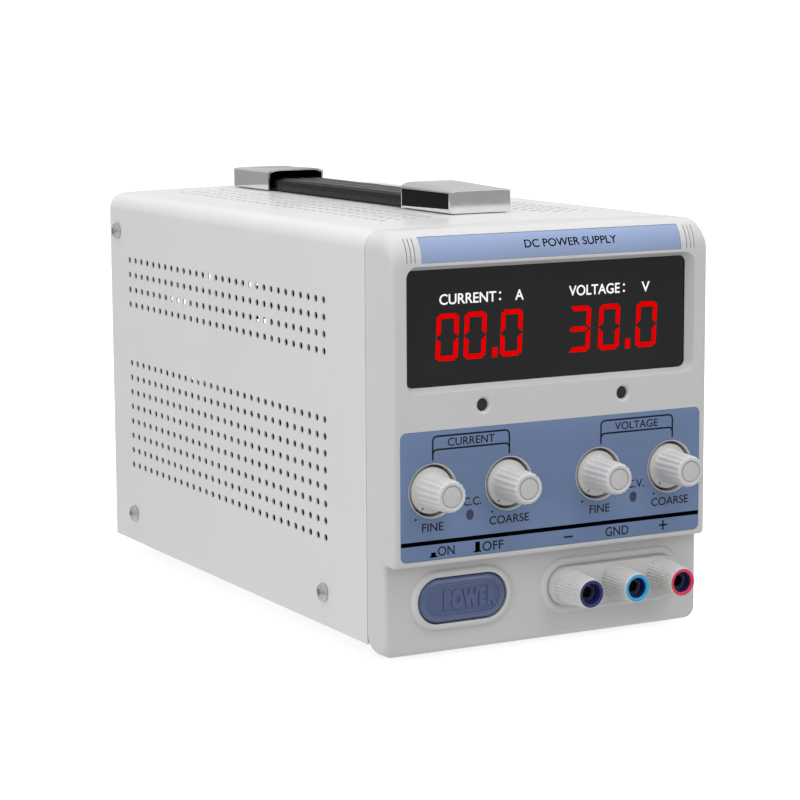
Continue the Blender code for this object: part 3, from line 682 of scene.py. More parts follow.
def lower_block():
    """The set-back block below, with its curved underside."""
    rings = []
    for depth in (0, 0.08, 0.3, 0.65, 1.1, 1.6, 2.0, 4.0, 6.0, 7.3, 8.5, 9.3, 10.0):
        half = bezel_half_width(depth + LOWER_FACE) - fillet(depth, 1.7) - 0.02
        rise = max(0.0, (depth - 6.0) / 4.0)
        bottom = BEZEL_BOTTOM + fillet(depth, 2.0) - BEZEL_BOTTOM * (1 - math.sqrt(1 - rise ** 2))
        top = STEP + 2.0
        outline = rounded(2 * half, top - bottom, [4.0, 4.0, 0.5, 0.5], 8,
                          (0, (top + bottom) / 2))
        rings.append((outline, -depth - LOWER_FACE))
    return loft(rings, BEZEL_FRAME)


def lip(size, width, height):
    """Raised bead round an opening of that size; the opening is cut afterwards."""
    section = ((1.0, -0.5), (1.0, 0.0), (0.95, 0.35), (0.84, 0.64), (0.68, 0.87), (0.5, 0.98),
               (0.32, 1.0), (0.16, 0.9), (0.04, 0.66), (-0.02, 0.4))
    return [(pill(size[0] + 2 * width * out, size[1] + 2 * width * out), height * up)
            for out, up in section]


def window_frame_cutter():
    width, height, middle = WINDOW
    rings = []
    for grow, depth in ((1.75, -0.4), (1.62, 0.0), (1.5, 0.12), (1.4, 0.32), (0.2, 3.3),
                        (0.04, 3.6), (0.0, 3.8), (0.0, 6.0)):
        outline = rounded(width + 2 * grow, height + 2 * grow, 2.6 + grow, 8, (0, middle))
        rings.append((outline, -depth))
    return loft(rings, BEZEL_FRAME)


def well_cutter(x):
    profile = [(9.6, 0.3), (9.45, 0.0), (9.2, -0.08), (9.05, -0.25), (WELL, -0.5), (WELL, -6.6),
               (WELL - 0.4, -7.0), (4.0, -7.0), (4.0, -12.0)]
    return lathe(profile, facing(FRONT, (x, 0, KNOB_Z)), 64)


def access_cutter(x):
    profile = [(3.5, 0.3), (3.25, 0.0), (2.9, -0.12), (2.5, -0.45), (2.25, -1.0), (2.1, -1.7),
               (2.1, -10)]
    return lathe(profile, facing(FRONT, (x, 0, ACCESS[1])), 32)


def arc_on_top(reach, start, stop, steps):
    """Points (y, z) along the bezel's top rounding, that far from its centre, in degrees."""
    points = []
    for step in range(steps + 1):
        angle = math.radians(180 - start - (stop - start) * step / steps)
        points.append(spot_on_top(reach, angle))
    return points


def spot_on_top(reach, angle):
    return (ROUND_DEPTH * (1 + reach / TOP_ROUND * math.cos(angle)),
            COVER_TOP + FRONT_LIFT - TOP_ROUND + reach * math.sin(angle))


TITLE_START = 0.8
TITLE_STOP = 53.5
TITLE_HALF = 52.0


def curved_band(outer, inner, start, stop, low_x, high_x):
    """A solid between two arcs on the top rounding and between two sides."""
    outline = arc_on_top(outer, start, stop, 14)
    outline += reversed(arc_on_top(inner, start, stop, 14))
    along_x = Matrix(((0, 0, 1), (1, 0, 0), (0, 1, 0))).to_4x4()
    return polygon(outline, low_x, high_x, along_x)


def title_solid(outer, inner, grow):
    turn = math.degrees(grow / TOP_ROUND)
    half = TITLE_HALF + grow
    return curved_band(outer, inner, TITLE_START - turn, TITLE_STOP + turn, -half, half)


def grooves():
    """Three fine slots at each end of the title strip."""
    cutters = []
    for sign in (-1, 1):
        for x in (54.5, 56.05, 57.6):
            cutters.append(curved_band(TOP_ROUND + 0.6, TOP_ROUND - 0.75, 1.5, 50.0,
                                       sign * x - 0.17, sign * x + 0.17))
    return joined(*cutters)


def front_bezel():
    """The blocks in one, hollowed, with its beads, wells, openings and pockets."""
    side = HALF - 2.0 - 2.6
    sleeve = polygon(rounded(2 * (HALF - 1.7), 117.0, [0.5, 0.5, 6.4, 6.4], 8, (0, 81.8)),
                     -12.0, -21.5, BEZEL_FRAME)
    button_hole = pill(BUTTON[0] + BUTTON_GAP, BUTTON[1] + BUTTON_GAP)
    button_front = facing(FRONT, (BUTTON_SPOT[0], LOWER_FACE, BUTTON_SPOT[1]))
    posts_front = facing(FRONT, (POST_X["ground"], LOWER_FACE, POST_Z))
    cups = joined(*[lathe([(WELL + 1.6, -2.0), (WELL + 1.6, -8.5)],
                          facing(FRONT, (x, 0, KNOB_Z)), 64) for x in KNOB_X.values()])
    steps = [
        ("UNION", lower_block()),
        ("UNION", sleeve),
        ("DIFFERENCE", box((-side, WALL, STEP + 2.2), (side, 40, COVER_TOP - 3.0))),
        ("DIFFERENCE", box((-side, LOWER_FACE + 2.0, -1.0), (side, 41, 40))),
        ("UNION", cups),
        ("UNION", loft(lip(BUTTON, 2.7, 1.6), button_front)),
        ("UNION", loft(lip(TERMINAL, 3.0, 1.25), posts_front)),
        ("DIFFERENCE", joined(*[well_cutter(x) for x in KNOB_X.values()])),
        ("DIFFERENCE", window_frame_cutter()),
        ("DIFFERENCE", joined(access_cutter(-ACCESS[0]), access_cutter(ACCESS[0]))),
        ("DIFFERENCE", title_solid(TOP_ROUND + 1.5, TOP_ROUND - 0.7, 0.1)),
        ("DIFFERENCE", grooves()),
        ("DIFFERENCE", polygon(button_hole, 4.0, -4.0, button_front)),
        ("DIFFERENCE", polygon(pill(*TERMINAL), 4.0, -4.0, posts_front)),
        ("DIFFERENCE", plate(overlay_outlines(0.08), -0.55, 0.55, BEZEL_FRAME)),
    ]
    mesh = combined(upper_block(), steps)
    bezel = piece("bezel_shell", mesh, BEZEL_PLASTIC, "case", ["front_bezel"])
    keep_flats_flat(bezel)


def overlay_outlines(grow):
    width, height, middle = OVERLAY
    outlines = [rounded(width + 2 * grow, height + 2 * grow, 2.2 + grow, 8, (0, middle))]
    for x in KNOB_X.values():
        outlines.append(circle(OVERLAY_HOLE - grow, 64, (x, KNOB_Z)))
    return outlines


def control_overlay():
    film = plate(overlay_outlines(0), -FILM, 0.0, BEZEL_FRAME, 0.05)
    piece("overlay_film", film, OVERLAY_FILM, "case", ["control_overlay"])


def title_strip():
    strip = title_solid(TOP_ROUND - 0.22, TOP_ROUND - 0.65, 0.0)
    piece("title_band", strip, TITLE_FILM, "case", ["title_strip"])


def display_window():
    width, height, middle = WINDOW
    rings = [(rounded(width + grow, height + grow, radius, 6), up)
             for grow, radius, up in ((3, 3.5, -2.3), (3, 3.5, -0.1), (2.8, 3.4, 0.0))]
    filter_mesh = loft(rings, facing(FRONT, (0, WALL + 0.3, middle)))
    piece("display_filter", filter_mesh, DISPLAY, "case", ["display_window"])


# ---- printing --------------------------------------------------------------------------
PRINT_DEPTH = 0.02
LINE = 0.6
OVERLAY_WORDS = (("CURRENT", 2.75, (-33.6, 70.75), 18.4), ("VOLTAGE", 2.75, (33.4, 70.75), 18.0),
                 ("FINE", 2.9, (-48.7, 42.1), 8.3), ("COARSE", 2.9, (-18.6, 42.1), 15.8),
                 ("FINE", 2.9, (18.2, 42.1), 8.3), ("COARSE", 2.9, (47.8, 42.2), 15.8),
                 ("C.C.", 2.9, (-33.2, 49.6), 7.0), ("C.V.", 2.9, (33.2, 49.65), 7.0),
                 ("GND", 3.3, (25.5, 33.4), 9.6), ("ON", 3.3, (-43.5, 33.5), 6.5),
                 ("OFF", 3.3, (-25.1, 33.4), 8.4))
DISPLAY_WORDS = (("CURRENT", 3.6, (-31.9, 118.65), 22.2), ("A", 3.6, (-11.6, 118.7), 3.4),
                 ("VOLTAGE", 3.6, (18.85, 118.8), 20.9), ("V", 3.6, (40.1, 118.65), 3.4))


def lettering(words, size, spot, matrix, weight, width, depth=PRINT_DEPTH, spacing=1.0,
              edge=0.0):
    """Flat letters centred on a local spot; size is the height that they are scaled to."""
    text = bpy.data.curves.new("text", "FONT")
    text.body = words
    text.size = 1.0
    text.align_x = "CENTER"
    text.align_y = "CENTER"
    text.space_character = spacing
    text.offset = weight
    text.extrude = depth / 2
    text.bevel_depth = edge
    mesh = baked(linked("text", text))
    xs = [v.co.x for v in mesh.vertices]
    ys = [v.co.y for v in mesh.vertices]
    tall = size / (max(ys) - min(ys))
    wide = width / (max(xs) - min(xs))
    centre = Matrix.Translation((-(max(xs) + min(xs)) / 2, -(max(ys) + min(ys)) / 2, 0))
    place = Matrix.Translation((*spot, 0)) @ Matrix.Diagonal((wide, tall, 1, 1))
    mesh.transform(TO_ROW @ matrix @ place @ centre)
    return mesh


def letterings(words, matrix, weight):
    """One mesh for each (words, size, spot, width)."""
    return [lettering(text, size, spot, matrix, weight, width)
            for text, size, spot, width in words]


def printed(outlines, matrix):
    return [polygon(outline, 0.0, PRINT_DEPTH, matrix) for outline in outlines]


def stroke(points, width):
    """Outline of a line of that width through points."""
    left = []
    right = []
    for i, point in enumerate(points):
        before = Vector(points[max(i - 1, 0)])
        after = Vector(points[min(i + 1, len(points) - 1)])
        along = (after - before).normalized()
        across = Vector((-along.y, along.x)) * width / 2
        left.append(tuple(Vector(point) + across))
        right.append(tuple(Vector(point) - across))
    return left + right[::-1]


def bracket(centre_x):
    """Bracket that groups the fine and coarse knobs, with its title in a box."""
    top, second, foot, reach, radius = 73.05, 68.5, 64.9, 15.0, 1.6
    points = [(-reach, foot)]
    for step in range(5):
        angle = math.radians(180 - 90 * step / 4)
        points.append((-reach + radius * (1 + math.cos(angle)),
                       top - radius * (1 - math.sin(angle))))
    points += [(-x, z) for x, z in reversed(points)]
    inner = [(x, z - top + second) for x, z in points[1:-1]]
    return [stroke([(centre_x + x, z) for x, z in line], LINE) for line in (points, inner)]


def overlay_printing():
    """Words, signs, brackets and lamp windows on the film, and the trimmer discs above it, whose
    dark grey paints the access holes' shade.
    """
    flat = facing(FRONT, (0.45, -0.015, 0))
    shapes = bracket(-33.6) + bracket(33.6)
    signs = ([(3.6, 33.3), (7.2, 33.3)], [(43.2, 33.6), (46.8, 33.6)],
             [(45.0, 31.8), (45.0, 35.4)])
    shapes += [stroke(line, LINE) for line in signs]
    for x in KNOB_X.values():
        shapes.append(circle(0.38, 16, (x - 7.2, KNOB_Z - 9.3)))
    black = letterings(OVERLAY_WORDS, flat, 0.008) + printed(shapes, flat)
    piece("overlay_print", joined(*black), PRINT_GREY, "case")

    half = OVERLAY[0] / 2 - 0.1
    left = -half - 0.45
    right = half - 0.45
    solid = [[(left, 36.05), (right, 36.05), (right, 37.5), (left, 37.5)]]
    for x, low, high in ((-48.5, 31.6, 33.3), (-31.2, 31.7, 35.3)):
        solid.append([(x - 1.5, low), (x + 1.5, low), (x + 1.5, low + 0.5), (x + 0.9, low + 0.5),
                      (x + 0.9, high), (x - 0.9, high), (x - 0.9, low + 0.5), (x - 1.5, low + 0.5)])
    piece("overlay_print_solid", joined(*printed(solid, flat)), PRINT_BLACK, "case")
    # Grey discs at the trimmers' place, just inside the access holes; their dark grey is painted
    # shade of the holes.
    trimmer_shade_discs = [lathe([(2.25, -3.5), (2.25, -1.5), (2.0, -1.4), (0.3, -1.4)],
                      facing(FRONT, (sign * ACCESS[0], 0, ACCESS[1])), 32) for sign in (-1, 1)]
    piece("access_trimmer_shade", joined(*trimmer_shade_discs), TRIMMER_SHADE_GREY, "case")
    lamps = []
    for sign in (-1, 1):
        lens = [(sign * LAMP[0] - 1.0 + 1.45 * x, LAMP[1] - 0.1 + 1.85 * z)
                for x, z in circle(1.0, 24)]
        lamps.append(polygon(lens, 0.0, 0.05, flat))
    piece("mode_lamp_windows", joined(*lamps), LAMP_LENS, "case")


def sliced(mesh, low, high, step):
    """Cut a mesh by level planes (case heights), so that it can be bent."""
    bm = bmesh.new()
    bm.from_mesh(mesh)
    count = int((high - low) / step) + 1
    for i in range(count + 1):
        spot = TO_ROW @ Vector((0, 0, low + i * step))
        geometry = bm.verts[:] + bm.edges[:] + bm.faces[:]
        bmesh.ops.bisect_plane(bm, geom=geometry, plane_co=spot, plane_no=(0, 0, 1), dist=1e-7)
    bm.to_mesh(mesh)
    bm.free()
    return mesh


def bend_on_top(mesh, clear):
    """Lay flat lettering (local X, arc length) onto the title band."""
    mesh = sliced(mesh, 0.0, 10.0, 0.4)
    to_case = TO_ROW.inverted()
    reach = TOP_ROUND - 0.22 + clear
    for vertex in mesh.vertices:
        x, y, z = to_case @ vertex.co
        angle = math.pi - z / TOP_ROUND
        vertex.co = TO_ROW @ Vector((x, *spot_on_top(reach + y, angle)))
    return mesh


def title_printing():
    middle = math.radians((TITLE_START + TITLE_STOP) / 2) * TOP_ROUND
    flat = Matrix(((1, 0, 0, 0), (0, 0, 1, 0), (0, 1, 0, 0), (0, 0, 0, 1)))
    words = lettering("DC POWER SUPPLY", 3.1, (7.1, middle), flat, 0.012, 37.3)
    piece("title_print", bend_on_top(words, 0.02), PRINT_BLACK, "case")


SEGMENTS = {"0": "abcdef", "3": "abcdg"}
DIGIT = (8.65, 16.1, 0.045)       # width, height and slant
STROKE = 1.75
STROKE_GAP = 0.2


def segment(key, thick, gap, across, half, open_left):
    """One stroke of a seven-segment digit, with cut corners where it meets its neighbours."""
    bevel = thick / 2
    cut = 0.62 * bevel
    if key in "ad":
        side = 1 if key == "a" else -1
        outer = half + side * (half + bevel)
        inner = outer - side * thick
        left = [(-bevel + gap, outer)] if open_left else [(gap + cut - bevel * 0.3, outer),
                                                          (gap - 0.1, outer - side * cut)]
        right = [(across - gap + 0.1, outer - side * cut),
                 (across - gap - cut + bevel * 0.3, outer)]
        return left[::-1] + right[::-1] + [(across - bevel + gap, inner), (bevel - gap, inner)]
    if key == "g":
        left = gap - bevel if open_left else gap
        return [(left, half), (left + bevel, half + bevel), (across - gap - bevel, half + bevel),
                (across - gap, half), (across - gap - bevel, half - bevel),
                (left + bevel, half - bevel)]
    outer, inner = (-bevel, bevel) if key in "ef" else (across + bevel, across - bevel)
    out = 1 if outer > inner else -1
    side = 1 if key in "bf" else -1
    end = half + side * (half + bevel)
    return [(outer, half + side * gap), (outer, end - side * (gap + 0.62 * thick)),
            (outer - out * cut * 0.9, end - side * (gap + 0.25 * thick)),
            (inner, end - side * (thick + gap * 0.6)), (inner, half + side * (gap + 0.75 * thick))]


def digit_shapes(character, low, width, height, slant):
    """Strokes of a seven-segment digit whose lower left corner is at low."""
    thick = STROKE
    across = width - thick
    half = (height - thick) / 2
    return [[(low[0] + thick / 2 + x + slant * (z + thick / 2), low[1] + thick / 2 + z)
             for x, z in segment(key, thick, STROKE_GAP, across, half, character == "3")]
            for key in SEGMENTS[character]]


def display_printing():
    middle = WALL + 0.3
    flat = facing(FRONT, (0, middle - 0.02, 0))
    colons = [circle(0.42, 12, (x, z)) for x in (-19.3, 31.0) for z in (117.6, 119.8)]
    white = letterings(DISPLAY_WORDS, flat, 0.012) + printed(colons, flat)
    # White words and colons, in a print that carries a painted glow.
    piece("display_print", joined(*white), PRINT_WHITE_PAINTED_GLOW, "case")
    shapes = []
    width, height, slant = DIGIT
    for text, lefts, low in (("000", (-44.7, -33.8, -19.45), 97.75),
                             ("300", (8.2, 20.25, 35.75), 97.25)):
        for character, left in zip(text, lefts):
            shapes += digit_shapes(character, (left, low), width, height, slant)
        dot = lefts[1] + width / 2 + 8.0
        shapes.append([(dot - 1.02, low), (dot + 1.02, low), (dot + 1.19, low + 3.4),
                       (dot - 0.85, low + 3.4)])
    red = [polygon(points, 0.0, 0.03, flat) for points in shapes]
    piece("display_digits", joined(*red), DIGITS, "case")


# ---- knobs, button and terminals -------------------------------------------------------
def control_knob(name, x):
    tip = -case_box("knob_" + name)[0][1]
    matrix = facing(FRONT, (x, 0, KNOB_Z))
    profile = [(7.5, -5.6, 0), (8.05, -5.0, 0), (8.05, -1.1, 0), (7.9, -0.75, 0), (7.6, -0.6, 0),
               (6.35, -0.55, 0.0), (6.2, -0.3, 0.15), (6.1, 0.2, 0.5), (5.95, 5.0, 0.52),
               (5.72, 10.0, 0.5), (5.6, tip - 1.3, 0.46), (5.5, tip - 0.7, 0.3),
               (5.2, tip - 0.25, 0.1), (4.85, tip - 0.03, 0.0), (4.6, tip, 0.0), (3.85, tip, 0.0),
               (3.78, tip - 0.1, 0.0), (3.76, tip - 0.7, 0.0)]
    rings = [(ribbed(radius, depth, 18, 10), height) for radius, height, depth in profile]
    knob = "knob_" + name
    piece(knob + "_body", loft(rings, matrix), KNOB_PLASTIC, knob, [knob],
          crease=66)
    cap = lathe([(3.52, tip - 0.75), (3.52, tip - 0.2), (3.42, tip - 0.08), (3.2, tip - 0.05),
                 (0.3, tip - 0.05)], matrix, 40)
    piece(knob + "_cap", cap, KNOB_CAP, knob)
    angle = math.radians(90 + 147)
    middle = (7.0 * math.cos(angle), 7.0 * math.sin(angle))
    turned = matrix @ Matrix.Translation((*middle, 0)) @ Matrix.Rotation(angle, 4, "Z")
    line = polygon([(-0.5, -0.28), (0.45, -0.28), (0.45, 0.28), (-0.5, 0.28)], -0.62, -0.52,
                   turned)
    piece(knob + "_pointer", line, POINTER_GREY, knob)


def power_button():
    matrix = facing(FRONT, (BUTTON_SPOT[0], LOWER_FACE, BUTTON_SPOT[1]))
    width, height = BUTTON
    rings = []
    for inset, up in ((0.0, -8.0), (0.0, 0.2), (0.12, 0.65), (0.45, 1.05), (0.95, 1.4),
                      (1.6, 1.65), (2.2, 1.75), (2.5, 1.76), (2.7, 1.7), (2.85, 1.5),
                      (3.0, 1.2), (3.2, 1.12), (3.5, 1.1)):
        rings.append((pill(width - 2 * inset, height - 2 * inset), up))
    mesh = joined(loft(rings, matrix), box((BUTTON_SPOT[0] - 2, 14.2, BUTTON_SPOT[1] - 2),
                                          (BUTTON_SPOT[0] + 2, 25, BUTTON_SPOT[1] + 2)))
    piece("power_button_cap", mesh, BUTTON_PLASTIC, "power_button", ["power_button"])
    words = lettering("POWER", 6.9, (3.0, 0.0), matrix @ Matrix.Translation((0, 0, 1.2)), 0.022,
                      21.2, depth=0.7, spacing=1.2, edge=0.06)
    piece("power_button_letters", words, BUTTON_PLASTIC, "power_button")


def terminal_plate():
    matrix = facing(FRONT, (POST_X["ground"], 0, POST_Z))
    rings = [(pill(TERMINAL[0] - INSERT_GAP - 2 * inset, TERMINAL[1] - INSERT_GAP - 2 * inset),
              -TERMINAL_FACE - down)
             for inset, down in ((0, 5.2), (0, 0.45), (0.12, 0.15), (0.4, 0.0))]
    piece("terminal_insert", loft(rings, matrix), BEZEL_PLASTIC, "case", ["terminal_plate"])


def binding_post(name, x):
    matrix = facing(FRONT, (x, 0, POST_Z))
    tip = POST_TIP
    base = -TERMINAL_FACE + 0.3
    profile = [(6.0, base, 0.0), (6.6, base + 0.15, 0.1), (6.75, base + 0.7, 0.32),
               (6.3, base + 4.0, 0.36), (5.7, base + 9.0, 0.36), (5.32, tip - 1.5, 0.34),
               (5.2, tip - 0.8, 0.22), (5.1, tip - 0.3, 0.08), (4.98, tip - 0.06, 0.0),
               (4.88, tip, 0.0), (4.8, tip - 0.1, 0.0), (4.8, tip - 5.2, 0.0),
               (3.0, tip - 5.4, 0.0), (3.0, base + 0.3, 0.0)]
    rings = [(ribbed(radius, 1.2 * depth, 34, 8), height) for radius, height, depth in profile]
    piece("post_cap_%s_body" % name, loft(rings, matrix, closed=True), KNOB_PLASTIC,
          "cap_" + name, ["post_cap_" + name], crease=66)
    body = "collar_" + name
    ring = [(3.62, tip - 4.4), (4.7, tip - 4.4), (4.78, tip - 0.5), (4.76, tip - 0.15),
            (4.6, tip), (3.95, tip), (3.75, tip - 0.12), (3.64, tip - 0.4)]
    piece("post_ring_" + name, lathe(ring, matrix, 56, closed=True), RINGS[name], body,
          ["post_collar_" + name])
    lining = [(2.66, tip - 4.9), (3.58, tip - 4.9), (3.58, tip - 0.75), (3.48, tip - 0.6),
              (3.38, tip - 0.8), (3.32, tip - 3.7), (3.1, tip - 3.9), (2.66, tip - 3.95)]
    piece("post_lining_" + name, lathe(lining, matrix, 48, closed=True), LINING, body)
    washer = [(2.06, tip - 3.85), (2.6, tip - 3.85), (2.6, tip - 3.55), (2.45, tip - 3.45),
              (2.2, tip - 3.45), (2.06, tip - 3.6)]
    piece("post_washer_" + name, lathe(washer, matrix, 40, closed=True), LINING, "case")


# ---- case ------------------------------------------------------------------------------
def cover_stations():
    """Corners of the cover's section from its left edge, over the top, to its right edge.

    Each is (x, z, vented): vented marks the strip that starts there as one row of holes.
    """
    side = [(0.0, False), (14.0, False)]
    side += [(28.9 + VENT_PITCH * i, True) for i in range(8)] + [(76.9, False)]
    side += [(94.9 + VENT_PITCH * i, True) for i in range(4)] + [(118.9, False)]
    left = [(-HALF, z, vented) for z, vented in side]
    for step in range(13):
        angle = math.radians(180 - 90 * step / 12)
        left.append((-HALF + CORNER * (1 + math.cos(angle)),
                     COVER_TOP - CORNER * (1 - math.sin(angle)), False))
    top = [(-52.0, COVER_TOP, False)]
    top += [(-44.5 + VENT_PITCH * i, COVER_TOP, True) for i in range(4)]
    top += [(-20.5, COVER_TOP, False), (-10.0, COVER_TOP, False)]
    half = left + top
    mirrored = []
    for i in reversed(range(len(half))):
        mirrored.append((-half[i][0], half[i][1], half[i - 1][2] if i else False))
    return half + [(0.0, COVER_TOP, False)] + mirrored


def top_cover():
    """Perforated sheet: plain quads and cells with a round hole, given its thickness."""
    stations = cover_stations()
    first = 44.2
    depths = [COVER_FRONT + 0.3, 18.0, 21.0] + [first + VENT_PITCH * i for i in range(31)]
    depths += [COVER_REAR]
    bm = bmesh.new()
    grid = [[bm.verts.new((x, y, z + (crown_at(x, y) if z == COVER_TOP else 0.0)))
             for y in depths] for x, z, _ in stations]
    for i in range(len(stations) - 1):
        for j in range(len(depths) - 1):
            corners = (grid[i][j], grid[i][j + 1], grid[i + 1][j + 1], grid[i + 1][j])
            if stations[i][2] and 2 < j < len(depths) - 2:
                add_vent(bm, corners)
            else:
                bm.faces.new(corners)
    mesh = mesh_of(bm)
    if mesh.polygons[0].normal.x > 0:
        mesh.flip_normals()
    cover = piece("perforated_cover", thickened(mesh, SHEET), COVER_PAINT, "case", ["top_cover"])
    keep_flats_flat(cover)


def thickened(mesh, thickness):
    """A sheet of that many millimetres, grown inwards and baked."""
    holder = linked("sheet", mesh)
    sheet = holder.modifiers.new("sheet", "SOLIDIFY")
    sheet.thickness = thickness * MM
    sheet.offset = -1.0
    sheet.use_even_offset = True
    return baked(holder)


def add_vent(bm, corners):
    """A square cell with a round hole, as four faces from its corners to the ring."""
    spots = [corner.co.copy() for corner in corners]
    centre = sum(spots, Vector()) / 4
    along = (spots[1] - spots[0]).normalized()
    across = (spots[3] - spots[0]).normalized()
    per_side = 4
    ring = []
    for i in range(4 * per_side):
        angle = math.radians(225) + math.tau * i / (4 * per_side)
        ring.append(bm.verts.new(centre + VENT_RADIUS * (math.cos(angle) * along
                                                         + math.sin(angle) * across)))
    for side in range(4):
        arc = [ring[(side * per_side + k) % len(ring)] for k in range(per_side + 1)]
        bm.faces.new([corners[side], corners[(side + 1) % 4]] + arc[::-1])


def screw_mesh():
    """Pan head with a cross recess, in its own frame with the head upwards."""
    profile = [(1.5, -6.0), (1.5, 0.05), (3.1, 0.05), (3.3, 0.25), (3.3, 0.7), (3.15, 1.15),
               (2.75, 1.6), (2.1, 1.95), (1.3, 2.18), (0.5, 2.27)]
    slots = []
    for turn in (0, 90):
        rings = [(rounded(3.3, 0.62, 0.1, 1), 2.8), (rounded(1.5, 0.4, 0.1, 1), 0.9)]
        slots.append(loft(rings, Matrix.Rotation(math.radians(turn), 4, "Z")))
    mesh = combined(lathe(profile, Matrix.Identity(4), 32), [("DIFFERENCE", slots[0]),
                                                            ("DIFFERENCE", slots[1])])
    mesh.transform(TO_ROW.inverted())
    return mesh


def screws():
    pattern = screw_mesh()
    for side_name, sign in (("left", -1), ("right", 1)):
        for i, (y, z) in enumerate(SCREWS):
            mesh = pattern.copy()
            turn = Matrix.Rotation(math.radians(25 + 47 * i + 20 * sign), 4, "Z")
            mesh.transform(TO_ROW @ facing((sign, 0, 0), (sign * HALF, y, z)) @ turn)
            name = "screw_%s_%s" % (side_name, SCREW_NAMES[i])
            piece(name + "_head", mesh, SCREW_METAL, "case", [name], crease=40)


def feet():
    for name in ("front_left", "front_right", "rear_left", "rear_right"):
        low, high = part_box("foot_" + name)
        centre = (low + high) / 2
        x = centre.x / MM
        y = (centre.y - FACE_Y) / MM
        matrix = facing(DOWN, (x, y, 0))
        profile = [(8.0, 0.3), (8.0, 0.9), (7.75, 2.5), (7.3, 4.6), (7.0, 5.5), (6.6, 5.9),
                   (6.2, 6.0), (3.9, 6.0), (3.5, 5.7), (3.4, 2.5), (0.3, 2.5)]
        piece("foot_%s_pad" % name, lathe(profile, matrix, 48), FOOT_RUBBER, "case",
              ["foot_" + name])


# ---- handle ----------------------------------------------------------------------------
def cap_solid(start, mouth, half, bottom, size, inset, first, last, soft):
    """A cap's body between two distances from its outer end, set in on every side.

    size is (height, rise of the shoulders, rise of the crown); soft is the outer edge's size.
    """
    height, lift, crown = size
    length = abs(mouth - start)
    way = 1 if mouth > start else -1
    travels = [first + step * soft for step in (0.0, 0.08, 0.25, 0.5, 1.0) if soft or step == 0.0]
    travels += [first + (last - first) * k / 8 for k in range(1, 9)]
    rings = []
    for travel in travels:
        share = min(1.0, travel / length)
        swell = share * share * (3 - 2 * share)
        pull = inset + (fillet(travel - first, soft) if soft else 0.0)
        top = bottom + height + lift * swell - inset - (pull - inset) / 2
        outline = crowned_box(2 * half - 2 * pull, top - bottom, [0.3, 0.3, 0.6, 0.6],
                              (top + bottom) / 2, crown * (0.25 + 0.75 * swell), 6, 8)
        rings.append((outline, -start - way * travel))
    return loft(rings, BEZEL_FRAME)


def handle_cap(name):
    """Chromed shell, open underneath and towards the strap, with a near-black sheet inside that
    paints the shade of its hollow; the front cap's sides carry near-black panels, a painted dark
    reflection.
    """
    low, high = case_box("handle_cap_" + name)
    near, bottom = low[1:]
    half, far, peak = high
    rise = CAP_RISE[name]
    height = peak - bottom - rise
    start, mouth = (near, far) if name == "front" else (far, near)
    length = far - near
    lift = FRONT_CAP_LIFT if name == "front" else 0.0
    size = (height, lift, rise - lift)
    wall = CAP_WALL
    shell_mesh = cap_solid(start, mouth, half, bottom, size, 0.0, 0.0, length, 0.9)
    steps = [("DIFFERENCE", cap_solid(start, mouth, half, bottom - 5, (height + 5, *size[1:]), wall,
                                      wall, length + 5, 0.0))]
    # Pockets in the front cap's sides, for the panels of painted dark reflection.
    if name == "front":
        steps += [("DIFFERENCE", side_panel(sign, half, near, far, bottom, height, 0.0))
                  for sign in (-1, 1)]
    mesh = combined(shell_mesh, steps)
    shell = piece("handle_%s_shell" % name, mesh, CHROME, "case", ["handle_cap_" + name])
    keep_flats_flat(shell)

    # Near-black sheet just inside the shell: painted shade of the cap's hollow.
    lining = cap_solid(start, mouth, half, bottom + 0.1, (height - 0.1, *size[1:]), wall + 0.03,
                       wall + 0.05, length - 0.3, 0.0)
    room = cap_solid(start, mouth, half, bottom - 5, (height + 5, *size[1:]), wall + 0.4,
                     wall + 0.45, length + 5, 0.0)
    dark = combined(lining, [("DIFFERENCE", room)])
    # The front cap's sides get near-black panels: a painted dark reflection.
    if name == "front":
        dark = joined(dark, *[side_panel(sign, half, near, far, bottom, height, 0.04)
                              for sign in (-1, 1)])
    piece("handle_%s_lining" % name, dark, CAP_PAINTED_SHADE_AND_REFLECTION, "case")


def side_panel(sign, half, near, far, bottom, height, gap):
    """Near-black panel let into a side of the front cap, a painted dark reflection; gap makes it
    smaller than its pocket.
    """
    low = near + 1.7 + gap
    high = far - 0.4 - gap
    points = [(low, bottom + 1.5 + gap), (high, bottom + 0.75 + gap),
              (high, bottom + height - 0.9 - gap), (low, bottom + height - 0.9 - gap)]
    outline = [(sign * y, z) for y, z in points]
    matrix = facing((sign, 0, 0), (sign * half, 0, 0))
    return polygon(outline, -0.35, 1.0 if gap == 0 else -gap, matrix)


def strap_section():
    """Half-round sides and three raised ribs along the top."""
    low, high = case_box("strap_front")
    half_x = high[0]
    half_z = (high[2] - low[2]) / 2
    outline = [(-half_x + 0.8, -half_z), (half_x - 0.8, -half_z), (half_x - 0.2, -half_z + 0.25),
               (half_x, -half_z + 0.9), (half_x, half_z - 1.5), (half_x - 0.25, half_z - 0.8),
               (half_x - 0.7, half_z - 0.55)]
    count = 3
    inner = half_x - 1.1
    pitch = 2 * inner / count
    for i in range(count):
        start = inner - i * pitch
        for part, rise in ((0.06, 0.62), (0.14, 0.2), (0.28, 0.04), (0.5, 0.0), (0.72, 0.04),
                           (0.86, 0.2), (0.94, 0.62)):
            outline.append((start - part * pitch, half_z - rise))
    outline += [(-half_x + 0.7, half_z - 0.55), (-half_x + 0.25, half_z - 0.8),
                (-half_x, half_z - 1.5), (-half_x, -half_z + 0.9), (-half_x + 0.2, -half_z + 0.25)]
    return outline


